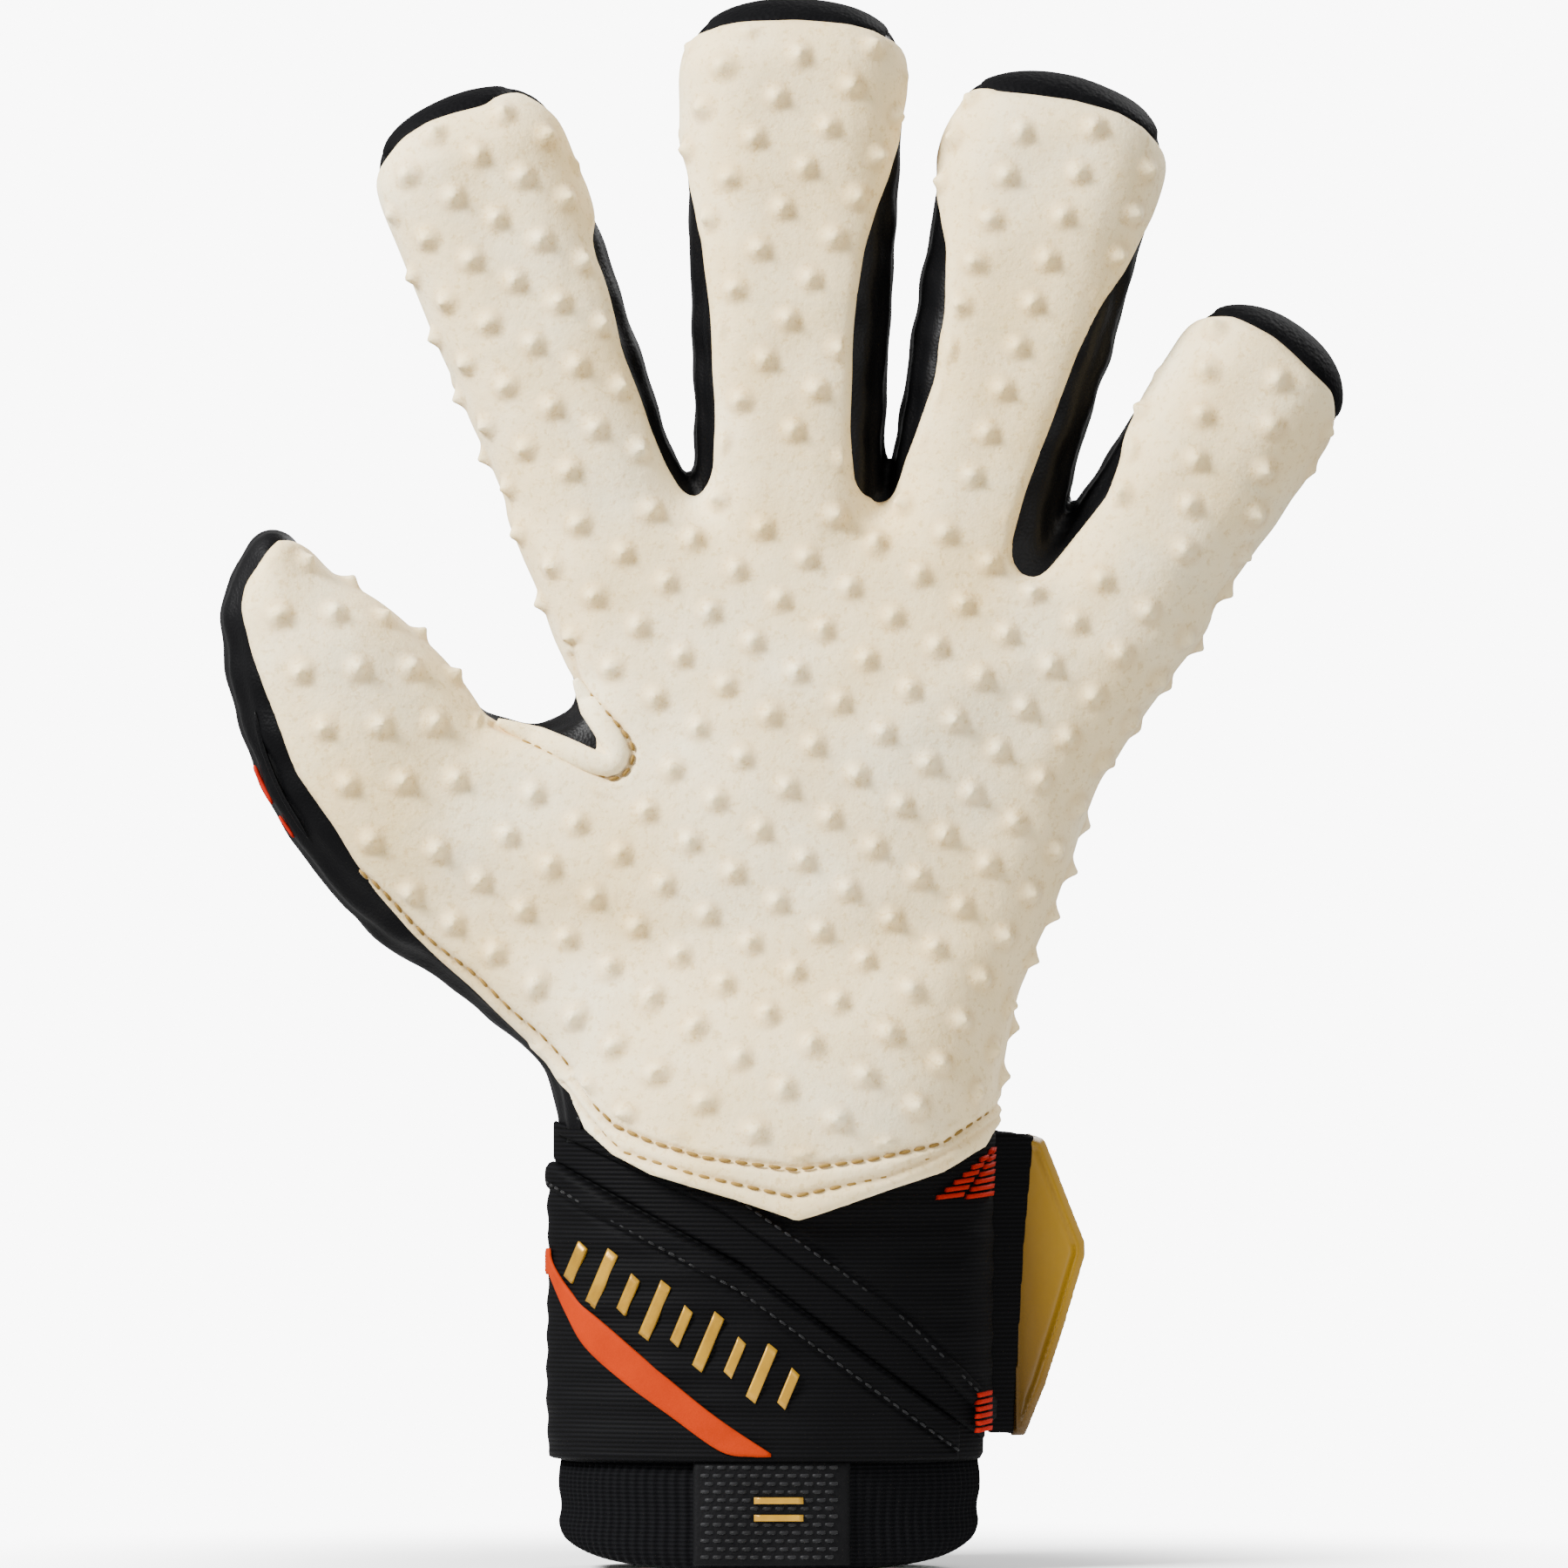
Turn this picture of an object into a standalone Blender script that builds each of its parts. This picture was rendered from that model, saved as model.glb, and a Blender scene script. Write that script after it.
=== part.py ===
"""Goalkeeper glove, left hand: latex palm, black backhand, gusseted fingers, wrist wrap, cuff and closing strap."""

import math

import bmesh
import bpy
from mathutils import Vector

MM = 0.001

# Driving dimensions, in millimetres. X runs across the palm, Z up to the fingertips, the palm faces -Y.
CENTRE_Y = -0.4  # moves the whole glove so that its box is centred on Y
GAP = 0.3  # left between neighbouring pieces
LATEX_T = 4.0  # latex foam with its lining
BACK_T = 3.5  # backhand foam
GUSSET_T = 2.0  # stretch fabric between the fingers
FINGER_DEPTH = 13.0  # half thickness of a finger
HAND_DEPTH = 17.0  # half thickness of the hand
GUSSET_HALF = 4.5  # half width of the gusset band, front to back
LATEX_INSET = 2.4  # the latex stops this far inside the gusset's outer edge
KNUCKLE_V = 8.0  # a finger's first crease, above the crotch
TIP_ROUND = 13.0  # length of a fingertip's rounding
WRIST_X = -2.75  # middle of the wrist
WRAP_RX, WRAP_RY = 39.6, 22.0  # outside of the wrist wrap
WRAP_T, SLEEVE_T, CUFF_T = 2.0, 2.2, 3.0
CUFF_RX, CUFF_RY = 39.0, 21.5
CUFF_TOP = 19.7
WRAP_TOP = 80.0
HEM_Z = 84.0
TUBE_SIDES = 32
MITRE = 1.5  # how far a corner may move, in multiples of its edges' inset

# Each finger: middle of its base, lean from upright in degrees, length, half width at base, middle and tip, and
# the share of the length where it bends.
FINGERS = {
    "index": ((-35.1, 201.6), -21.0, 75.0, (16.0, 17.4, 17.8), 0.54),
    "middle": ((0.7, 202.4), 1.0, 87.0, (17.6, 19.2, 20.6), 0.54),
    "ring": ((36.0, 200.0), 12.7, 78.0, (16.2, 19.0, 20.2), 0.54),
    "little": ((66.2, 186.9), 34.0, 51.4, (15.4, 16.6, 16.6), 0.56),
}

# The thumb's outer and inner edges, from the palm outwards.
THUMB_OUTER = [(-87.4, 131.0), (-93.8, 139.4), (-97.4, 147.4), (-100.5, 156.3)]
THUMB_INNER = [(-49.6, 156.8), (-58.4, 161.4), (-65.2, 168.8), (-71.9, 175.2)]
TIP_OUTER = [(-100.6, 156.6), (-103.4, 166.5), (-104.0, 177.0), (-101.6, 184.6), (-98.6, 190.2)]
TIP_INNER = [(-72.1, 175.5), (-77.6, 179.4), (-83.6, 183.6), (-87.6, 188.0), (-91.6, 191.8)]
THUMB_LEAN = 33.0

LITTLE_SIDE = [
    (38.6, 85.2), (40.2, 96.8), (42.0, 106.5), (49.0, 121.5), (52.5, 131.0), (55.9, 142.4),
    (60.4, 152.3), (66.4, 161.6), (72.5, 169.0), (77.8, 176.0),
]
INDEX_SIDE = [(-50.1, 195.2), (-46.0, 187.1), (-42.0, 179.0), (-38.8, 169.4), (-37.2, 163.4)]
THUMB_CROTCH = [(-33.4, 158.6), (-29.4, 151.6), (-31.6, 147.6), (-41.8, 151.2)]
THUMB_SIDE = [
    (-86.0, 128.6), (-82.0, 123.3), (-73.8, 115.2), (-66.7, 110.8), (-60.7, 106.8),
    (-55.5, 101.9), (-48.3, 97.1), (-43.6, 92.0), (-42.0, 85.2),
]
HEM_EDGE = [
    (-41.0, 83.6), (-35.7, 79.8), (-28.8, 74.8), (-20.0, 71.6), (-3.6, 67.3), (2.2, 64.9),
    (14.0, 68.2), (27.2, 72.7), (36.0, 78.6), (38.2, 83.6),
]

MATERIALS = {
    "latex": ("EFE6D4", 0.85, 0.0),
    "back_foam": ("101012", 0.7, 0.0),
    "gusset": ("1A1B1D", 0.6, 0.0),
    "elastic": ("0C0C0D", 0.8, 0.0),
    "knit": ("0E0E0F", 0.85, 0.0),
    "patch": ("151515", 0.7, 0.0),
    "hook_loop": ("131314", 0.9, 0.0),
    "tab_rubber": ("C08A12", 0.35, 0.0),
}


def clear_scene():
    for obj in list(bpy.data.objects):
        bpy.data.objects.remove(obj, do_unlink=True)


def linear(code):
    out = []
    for i in (0, 2, 4):
        c = int(code[i:i + 2], 16) / 255.0
        out.append(c / 12.92 if c <= 0.04045 else ((c + 0.055) / 1.055) ** 2.4)
    return out + [1.0]


def make_material(name):
    code, rough, metal = MATERIALS[name]
    mat = bpy.data.materials.new(name)
    mat.use_nodes = True
    shader = mat.node_tree.nodes["Principled BSDF"]
    shader.inputs["Base Color"].default_value = linear(code)
    shader.inputs["Roughness"].default_value = rough
    shader.inputs["Metallic"].default_value = metal
    mat.diffuse_color = linear(code)
    return mat


def add_object(name, mesh, material, pivot=None):
    obj = bpy.data.objects.new(name, mesh)
    bpy.context.scene.collection.objects.link(obj)
    mesh.materials.clear()
    mesh.materials.append(bpy.data.materials.get(material) or make_material(material))
    if pivot is not None:
        at = Vector((pivot[0], pivot[1] + CENTRE_Y, pivot[2])) * MM
        for v in mesh.vertices:
            v.co -= at
        obj.location = at
    return obj


def finish_mesh(name, bm):
    """The mesh in metres, with every face turned outwards and cut into triangles."""
    bmesh.ops.remove_doubles(bm, verts=bm.verts, dist=0.001)
    bmesh.ops.triangulate(bm, faces=bm.faces, ngon_method="EAR_CLIP")
    bmesh.ops.recalc_face_normals(bm, faces=bm.faces)
    for v in bm.verts:
        v.co = Vector((v.co.x, v.co.y + CENTRE_Y, v.co.z)) * MM
    mesh = bpy.data.meshes.new(name)
    bm.to_mesh(mesh)
    bm.free()
    return mesh


def stack_rings(bm, rings):
    """Closed rings of equal length joined one to the next, with both ends capped."""
    rows = [[bm.verts.new(p) for p in ring] for ring in rings]
    n = len(rows[0])
    for a, b in zip(rows, rows[1:]):
        for i in range(n):
            j = (i + 1) % n
            bm.faces.new((a[i], a[j], b[j], b[i]))
    bm.faces.new(rows[0])
    bm.faces.new(rows[-1])


def unit(x, z):
    length = math.hypot(x, z) or 1.0
    return x / length, z / length


def inset(points, distances):
    """An anticlockwise outline moved inwards, each edge by its own distance."""
    n = len(points)
    lines = []
    for i in range(n):
        (x0, z0), (x1, z1) = points[i], points[(i + 1) % n]
        dx, dz = unit(x1 - x0, z1 - z0)
        d = distances[i]
        lines.append((x0 - dz * d, z0 + dx * d, dx, dz))
    out = []
    for i in range(n):
        ax, az, adx, adz = lines[i - 1]
        bx, bz, bdx, bdz = lines[i]
        cross = adx * bdz - adz * bdx
        if abs(cross) < 0.12:
            mx, mz = unit(adx + bdx, adz + bdz)
            d = (distances[i - 1] + distances[i]) / 2
            out.append((points[i][0] - mz * d, points[i][1] + mx * d))
        else:
            t = ((bx - ax) * bdz - (bz - az) * bdx) / cross
            mx, mz = ax + adx * t - points[i][0], az + adz * t - points[i][1]
            far = MITRE * max(abs(distances[i - 1]), abs(distances[i]))
            k = min(1.0, far / (math.hypot(mx, mz) or 1.0))
            out.append((points[i][0] + mx * k, points[i][1] + mz * k))
    return out


def level(points, y):
    return [(x, y, z) for x, z in points]


def shell_panel(name, points, cuts, edge, face, wall, side, material, pivot=None, spread=4.6):
    """A domed panel with a hollow behind it. cuts lists the edges where it ends open, at a crease or a mouth."""
    n = len(points)

    def ring(amount, depth, cut_amount):
        distances = [cut_amount if i in cuts else amount for i in range(n)]
        return level(inset(points, distances), side * depth)

    rise = face - edge
    outer = bmesh.new()
    stack_rings(outer, [ring(0, edge, 0), ring(1.3, edge + 0.62 * rise, 0), ring(spread, face, 0)])
    hollow = bmesh.new()
    stack_rings(hollow, [
        ring(wall, edge - 3.0, -6.0), ring(wall, edge + 0.05, -6.0),
        ring(1.3 + wall, max(edge + 0.2, edge + 0.62 * rise - 0.8 * wall), -6.0),
        ring(spread + 0.6 * wall, face - wall, -6.0),
    ])
    body = bpy.data.objects.new(name, finish_mesh(name, outer))
    cutter = bpy.data.objects.new(name + "_cutter", finish_mesh(name + "_cutter", hollow))
    for obj in (body, cutter):
        bpy.context.scene.collection.objects.link(obj)
    cut = body.modifiers.new("hollow", "BOOLEAN")
    cut.operation = "DIFFERENCE"
    cut.solver = "EXACT"
    cut.object = cutter
    graph = bpy.context.evaluated_depsgraph_get()
    mesh = bpy.data.meshes.new_from_object(body.evaluated_get(graph))
    bpy.data.objects.remove(body, do_unlink=True)
    bpy.data.objects.remove(cutter, do_unlink=True)
    bm = bmesh.new()
    bm.from_mesh(mesh)
    bmesh.ops.remove_doubles(bm, verts=bm.verts, dist=2e-6)
    bmesh.ops.dissolve_degenerate(bm, edges=bm.edges, dist=2e-6)
    bmesh.ops.triangulate(bm, faces=bm.faces)
    bm.to_mesh(mesh)
    bm.free()
    mesh.name = name
    return add_object(name, mesh, material, pivot)


def channel(name, lefts, rights, edge, face, wall, side, material, pivot=None):
    """A domed panel lofted between two edges, hollow behind and open at its lower end."""
    bm = bmesh.new()
    sections = []
    rise = face - edge
    for (x0, z0), (x1, z1) in zip(lefts, rights):
        w = math.hypot(x1 - x0, z1 - z0) / 2
        ax, az = unit(x1 - x0, z1 - z0)
        mx, mz = (x0 + x1) / 2, (z0 + z1) / 2
        spread, t = min(4.6, 0.45 * w), min(wall, 0.3 * w)
        outer = [(w, edge), (w - 0.28 * spread, edge + 0.62 * rise), (w - spread, face)]
        inner = [(w - t, edge), (w - 0.28 * spread - t, edge + 0.62 * rise - 0.7 * wall), (w - spread - 0.6 * t, face - wall)]
        profile = [(-u, d) for u, d in outer] + outer[::-1] + inner + [(-u, d) for u, d in inner[::-1]]
        sections.append([(mx + ax * u, side * d, mz + az * u) for u, d in profile])
    stack_rings(bm, sections)
    return add_object(name, finish_mesh(name, bm), material, pivot)


def path_offset(path, d):
    """An open path moved to its left by d."""
    out = []
    for i, (x, z) in enumerate(path):
        a = path[max(i - 1, 0)]
        b = path[min(i + 1, len(path) - 1)]
        dx, dz = unit(b[0] - a[0], b[1] - a[1])
        out.append((x - dz * d, z + dx * d))
    return out


def ribbon(name, path, y0, y1, thick, bulge, material, pivot=None):
    """A wall that follows a path in the XZ plane, from y0 to y1, bulging outwards in the middle."""
    near = path_offset(path, 0.0)
    far = path_offset(path, thick)
    mid = path_offset(path, -bulge)
    bm = bmesh.new()
    middle = (y0 + y1) / 2
    sections = []
    for a, m, b in zip(near, mid, far):
        sections.append([(a[0], y0, a[1]), (m[0], middle, m[1]), (a[0], y1, a[1]), (b[0], y1, b[1]), (b[0], y0, b[1])])
    stack_rings(bm, sections)
    return add_object(name, finish_mesh(name, bm), material, pivot)


def slab(name, points, y0, y1, material, pivot=None):
    bm = bmesh.new()
    stack_rings(bm, [level(points, y0), level(points, y1)])
    return add_object(name, finish_mesh(name, bm), material, pivot)


def ellipse(rx, ry, z, sides=TUBE_SIDES):
    return [
        (WRIST_X + rx * math.cos(2 * math.pi * i / sides), ry * math.sin(2 * math.pi * i / sides), z)
        for i in range(sides)
    ]


def tube(name, levels, wall, material):
    """A tube round the wrist. levels lists (z, rx, ry) of its outside, bottom to top."""
    bm = bmesh.new()
    outside = [[bm.verts.new(p) for p in ellipse(rx, ry, z)] for z, rx, ry in levels]
    inside = [[bm.verts.new(p) for p in ellipse(rx - wall, ry - wall, z)] for z, rx, ry in levels]
    rows = outside + inside[::-1]
    for a, b in zip(rows, rows[1:] + rows[:1]):
        for i in range(TUBE_SIDES):
            j = (i + 1) % TUBE_SIDES
            bm.faces.new((a[i], a[j], b[j], b[i]))
    return add_object(name, finish_mesh(name, bm), material)


def curved_sheet(name, first, last, low, high, inner, thick, material, pivot=None):
    """A sheet round the wrist, between two of the tube's corners. low and high give its edges at an x."""
    bm = bmesh.new()
    sections = []
    for step in range(first, last + 1):
        c, s = math.cos(2 * math.pi * step / TUBE_SIDES), math.sin(2 * math.pi * step / TUBE_SIDES)
        x0, y0 = WRIST_X + inner[0] * c, inner[1] * s
        nx, ny = unit(c / inner[0], s / inner[1])
        x1, y1 = x0 + nx * thick, y0 + ny * thick
        z0, z1 = low(x0), high(x0)
        sections.append([(x0, y0, z0), (x1, y1, z0), (x1, y1, z1), (x0, y0, z1)])
    stack_rings(bm, sections)
    return add_object(name, finish_mesh(name, bm), material, pivot)


def height_on(path, x):
    """The height of a left-to-right path at x, held level past its ends."""
    if x <= path[0][0]:
        return path[0][1]
    for (x0, z0), (x1, z1) in zip(path, path[1:]):
        if x <= x1:
            return z0 + (z1 - z0) * (x - x0) / (x1 - x0)
    return path[-1][1]


def finger_point(name, across, along):
    (x, z), lean, _, _, _ = FINGERS[name]
    s, c = math.sin(math.radians(lean)), math.cos(math.radians(lean))
    return x + across * c + along * s, z - across * s + along * c


def half_width(name, along):
    _, _, length, (w0, w1, w2), _ = FINGERS[name]
    t = min(max(along / (length - TIP_ROUND), 0.0), 1.0)
    w = w0 + (w1 - w0) * t * 2 if t < 0.5 else w1 + (w2 - w1) * (t * 2 - 1)
    over = (along - (length - TIP_ROUND)) / TIP_ROUND
    if over > 0:
        w *= (1 - min(over, 1.0) ** 2.7) ** (1 / 2.7)
    return w


def finger_parts(name):
    _, lean, length, _, bend = FINGERS[name]
    knuckle = KNUCKLE_V + GAP
    crease = bend * length
    hinge0 = finger_point(name, 0, KNUCKLE_V + GAP / 2)
    hinge1 = finger_point(name, 0, crease)
    pivot0 = (hinge0[0], -FINGER_DEPTH, hinge0[1])
    pivot1 = (hinge1[0], -FINGER_DEPTH, hinge1[1])
    span = crease - GAP / 2 - knuckle
    stations = [knuckle + span * k / 3 for k in range(4)]

    def panel(label, levels, less, wall, side, material, pivot):
        right = [finger_point(name, half_width(name, v) - less, v) for v in levels]
        left = [finger_point(name, -half_width(name, v) + less, v) for v in levels]
        channel(name + label, left, right, GUSSET_HALF + GAP, FINGER_DEPTH, wall, side, material, pivot)

    panel("_base_latex", stations, LATEX_INSET, LATEX_T, -1, "latex", pivot0)
    panel("_base_back", stations, 0.4, BACK_T, 1, "back_foam", pivot0)
    for label, sign in (("thumb_side", -1), ("little_side", 1)):
        path = [finger_point(name, sign * (half_width(name, v) - 0.8), v) for v in stations]
        if sign < 0:
            path = path[::-1]
        ribbon(name + "_base_gusset_" + label, path, -GUSSET_HALF, GUSSET_HALF, GUSSET_T, 0.8, "gusset", pivot0)
    start = crease + GAP / 2
    straight = length - TIP_ROUND
    tip_levels = [start, (start + straight) / 2, straight]
    tip_levels += [straight + TIP_ROUND * s for s in (0.45, 0.75, 0.92)]
    panel("_tip_latex", tip_levels, LATEX_INSET, LATEX_T, -1, "latex", pivot1)
    panel("_tip_back", tip_levels[:-1] + [straight + TIP_ROUND * 0.96], 0.4, BACK_T, 1, "back_foam", pivot1)
    levels = tip_levels[:3] + [straight + TIP_ROUND * s for s in (0.35, 0.62, 0.82, 0.94, 0.995)]
    right = [finger_point(name, half_width(name, v) - 0.8, v) for v in levels]
    left = [finger_point(name, -half_width(name, v) + 0.8, v) for v in levels]
    end = [finger_point(name, 0, length - 0.3)]
    ribbon(name + "_tip_gusset", right + end + left[::-1], -GUSSET_HALF, GUSSET_HALF, GUSSET_T, 0.8, "gusset", pivot1)


def thumb_parts():
    s, c = math.sin(math.radians(THUMB_LEAN)), math.cos(math.radians(THUMB_LEAN))

    def moved(points, steps):
        return [(x - s * GAP * steps, z + c * GAP * steps) for x, z in points]

    def drawn_in(lefts, rights, less):
        pairs = []
        for (x0, z0), (x1, z1) in zip(lefts, rights):
            ax, az = unit(x1 - x0, z1 - z0)
            pairs.append(((x0 + ax * less, z0 + az * less), (x1 - ax * less, z1 - az * less)))
        return [p for p, _ in pairs], [q for _, q in pairs]

    half = GUSSET_HALF
    for part, outer, inner, steps in (("base", THUMB_OUTER, THUMB_INNER, 1.5), ("tip", TIP_OUTER, TIP_INNER, 3.0)):
        outer, inner = moved(outer, steps), moved(inner, steps)
        pivot = ((outer[0][0] + inner[0][0]) / 2, -FINGER_DEPTH, (outer[0][1] + inner[0][1]) / 2)
        for label, less, wall, side, material in (("_latex", 1.8, LATEX_T, -1, "latex"),
                                                  ("_back", 0.4, BACK_T, 1, "back_foam")):
            lefts, rights = drawn_in(outer, inner, less)
            channel("thumb_" + part + label, lefts, rights, half + GAP, FINGER_DEPTH, wall, side, material, pivot)
        lefts, rights = drawn_in(outer, inner, 0.8)
        if part == "base":
            ribbon("thumb_base_gusset_inner", rights, -half, half, GUSSET_T, 0.8, "gusset", pivot)
            ribbon("thumb_base_gusset_outer", lefts[::-1], -half, half, GUSSET_T, 0.8, "gusset", pivot)
        else:
            ribbon("thumb_tip_gusset", rights + lefts[::-1], -half, half, GUSSET_T, 0.8, "gusset", pivot)


def hand_parts():
    edge = GUSSET_HALF + GAP

    def corners(name, less):
        w = half_width(name, KNUCKLE_V) - less
        return finger_point(name, w, KNUCKLE_V), finger_point(name, -w, KNUCKLE_V)

    crotches = {"ring": (51.9, 193.9), "middle": (20.0, 205.6), "index": (-18.2, 202.4)}

    def outline(less, low_edge):
        points, cuts = [], []
        points += LITTLE_SIDE
        for name in ("little", "ring", "middle", "index"):
            cuts.append(len(points))
            right, left = corners(name, less)
            points += [right, left]
            if name != "index":
                after = {"little": "ring", "ring": "middle", "middle": "index"}[name]
                points.append(crotches[after])
        points += INDEX_SIDE + THUMB_CROTCH
        cuts.append(len(points))
        points += [(-49.3, 156.3), (-87.1, 130.5)]
        points += THUMB_SIDE + low_edge
        cuts.append(len(points) - 1)
        return points, cuts

    points, cuts = outline(0.6, [])
    shell_panel("palm_latex", points, cuts, edge, HAND_DEPTH, LATEX_T, -1, "latex")
    shell_panel("hand_back", points, cuts, edge, HAND_DEPTH, BACK_T, 1, "back_foam")
    half = GUSSET_HALF
    little_right = corners("little", 0)[0]
    ribbon("little_side_wall", path_offset(LITTLE_SIDE + [little_right], 0.8), -half, half, GUSSET_T, 0.8, "gusset")
    index_left = corners("index", 0)[1]
    ribbon("index_side_wall", path_offset([index_left] + INDEX_SIDE, 0.8), -half, half, GUSSET_T, 0.8, "gusset")
    ribbon("thumb_crotch_gusset", path_offset(THUMB_CROTCH + [(-49.3, 156.3)], 0.8), -half, half, GUSSET_T, 0.3,
           "gusset")
    ribbon("thumb_side_wall", path_offset([(-87.1, 130.5)] + THUMB_SIDE, 0.8), -half, half, GUSSET_T, 0.8, "gusset")
    for name, a, b in (("index_middle_crotch", "index", "middle"), ("middle_ring_crotch", "middle", "ring"),
                       ("ring_little_crotch", "ring", "little")):
        low = {"index": crotches["index"], "middle": crotches["middle"], "ring": crotches["ring"]}[a]
        start = corners(b, 0.8)[1]
        end = corners(a, 0.8)[0]
        path = [start, ((start[0] + low[0]) / 2 + 0.6, (start[1] + low[1]) / 2 - 0.8), (low[0], low[1] - 0.8),
                ((end[0] + low[0]) / 2 - 0.6, (end[1] + low[1]) / 2 - 0.8), end]
        ribbon(name, path, -half, half, GUSSET_T, 0.3, "gusset")
    welt_in = [(-51.0, 157.9), (-45.9, 156.6), (-38.4, 153.4), (-33.6, 152.2), (-34.9, 154.6), (-37.6, 158.8),
               (-38.2, 162.4)]
    welt_out = [(-37.6, 162.6), (-33.9, 158.4), (-30.1, 152.4), (-32.0, 148.6), (-41.8, 152.0), (-49.6, 156.8)]
    slab("thumb_welt", [(x, z) for x, z in welt_in[::-1]] + [(x, z) for x, z in welt_out[::-1]], -14.0, -5.4, "latex")


def wrist_parts():
    tube("cuff", [(0.0, CUFF_RX - 1.2, CUFF_RY - 0.8), (4.0, CUFF_RX, CUFF_RY), (CUFF_TOP, CUFF_RX, CUFF_RY)],
         CUFF_T, "knit")
    curved_sheet("cuff_patch", 22, 26, lambda x: 5.0, lambda x: 19.2, (CUFF_RX + GAP, CUFF_RY + GAP), 0.8, "patch")
    sleeve = (WRAP_RX - WRAP_T - GAP, WRAP_RY - WRAP_T - GAP)
    tube("wrist_sleeve", [(CUFF_TOP + 0.4, *sleeve), (50.0, *sleeve), (HEM_Z - 1.0, *sleeve)], SLEEVE_T, "elastic")
    tube("wrist_wrap", [(CUFF_TOP + 0.4, WRAP_RX, WRAP_RY), (50.0, WRAP_RX, WRAP_RY), (WRAP_TOP, WRAP_RX, WRAP_RY)],
         WRAP_T, "elastic")
    layer = (WRAP_RX + 0.4, WRAP_RY + 0.4)
    diagonal = [(-44.0, 77.6), (-19.8, 64.0), (-8.1, 59.2), (16.0, 40.2), (38.3, 23.9)]
    curved_sheet("wrap_upper_layer", 16, 32, lambda x: height_on(diagonal, x), lambda x: WRAP_TOP, layer, 1.1,
                 "elastic")
    curved_sheet("wrap_lower_layer", 16, 29, lambda x: CUFF_TOP + 0.4,
                 lambda x: max(height_on(diagonal, x) - 1.2, CUFF_TOP + 1.4), layer, 1.1, "elastic")
    curved_sheet("palm_hem", 17, 31, lambda x: height_on(HEM_EDGE, x), lambda x: HEM_Z + 0.4,
                 (WRAP_RX + 2.0, WRAP_RY + 2.0), 2.4, "latex")
    pad = (WRAP_RX + 0.4, WRAP_RY + 0.4)
    hinge = 2 * math.pi * 13 / TUBE_SIDES
    pivot = (WRIST_X + (WRAP_RX + 3.2) * math.cos(hinge), (WRAP_RY + 3.2) * math.sin(hinge), 52.0)
    curved_sheet("loop_pad", 2, 12, lambda x: 28.0, lambda x: 76.0, pad, 1.0, "hook_loop")
    curved_sheet("hook_pad", 2, 8, lambda x: 32.0, lambda x: 72.0, (pad[0] + 1.5, pad[1] + 1.5), 1.0,
                 "hook_loop", pivot)
    curved_sheet("closure_strap", 1, 13, lambda x: 26.0, lambda x: 78.0, (pad[0] + 3.0, pad[1] + 3.0),
                 1.8, "elastic", pivot)
    tab = [(41.8, 24.0), (44.6, 24.2), (56.0, 57.6), (55.6, 60.6), (48.3, 79.4), (41.6, 80.2)]
    bm = bmesh.new()

    def lean(x):
        return 5.2 + (x - 41.6) * 0.55

    stack_rings(bm, [[(x, lean(x) + d, z) for x, z in tab] for d in (0.0, 3.4)])
    add_object("pull_tab", finish_mesh("pull_tab", bm), "tab_rubber", pivot)


clear_scene()
for finger in FINGERS:
    finger_parts(finger)
thumb_parts()
hand_parts()
wrist_parts()
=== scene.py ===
import math

import bpy
import numpy as np
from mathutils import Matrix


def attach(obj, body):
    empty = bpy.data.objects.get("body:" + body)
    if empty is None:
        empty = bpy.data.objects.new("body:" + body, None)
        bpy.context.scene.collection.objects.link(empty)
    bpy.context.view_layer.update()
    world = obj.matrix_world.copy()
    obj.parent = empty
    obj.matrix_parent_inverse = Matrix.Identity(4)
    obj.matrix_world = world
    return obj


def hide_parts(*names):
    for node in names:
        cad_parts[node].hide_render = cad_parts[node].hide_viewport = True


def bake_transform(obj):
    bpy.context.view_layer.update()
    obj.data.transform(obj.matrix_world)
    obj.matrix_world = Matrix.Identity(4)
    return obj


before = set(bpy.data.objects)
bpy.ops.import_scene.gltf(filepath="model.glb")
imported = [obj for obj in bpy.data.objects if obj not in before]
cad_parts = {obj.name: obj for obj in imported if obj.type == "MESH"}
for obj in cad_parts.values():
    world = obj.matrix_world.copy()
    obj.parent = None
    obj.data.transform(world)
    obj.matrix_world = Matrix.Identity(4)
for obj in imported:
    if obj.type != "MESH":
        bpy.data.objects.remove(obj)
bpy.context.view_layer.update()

MM = 0.001
SHIFT_Y = -0.4  # the CAD glove's middle plane, in millimetres
STEP = 1.1  # spacing of the grid that the hand's surface is drawn from
WRIST_X = -2.75

# ---------------------------------------------------------------- materials


def rgb(code):
    """A linear colour from an sRGB hex code."""
    out = []
    for i in (0, 2, 4):
        c = int(code[i:i + 2], 16) / 255.0
        out.append(c / 12.92 if c <= 0.04045 else ((c + 0.055) / 1.055) ** 2.4)
    return (*out, 1.0)


def node(mat, kind, settings=None, **inputs):
    """Adds one node. inputs are values, or (node, output) pairs to link. i0 is its first socket."""
    n = mat.node_tree.nodes.new(kind)
    for key, value in (settings or {}).items():
        setattr(n, key, value)
    for key, value in inputs.items():
        by_place = key[0] == "i" and key[1:].isdigit()
        socket = n.inputs[int(key[1:])] if by_place else n.inputs[key.replace("_", " ")]
        if isinstance(value, tuple) and len(value) == 2 and isinstance(value[1], str):
            plug(mat, *value, socket)
        else:
            socket.default_value = value
    return n


def material(name, roughness=0.7, **constants):
    """A new material. Its constant values are set on the shader itself."""
    mat = bpy.data.materials.new(name)
    mat.use_nodes = True
    shader = mat.node_tree.nodes["Principled BSDF"]
    shader.inputs["Roughness"].default_value = roughness
    for key, value in constants.items():
        shader.inputs[key.replace("_", " ")].default_value = value
    return mat, shader


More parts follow.
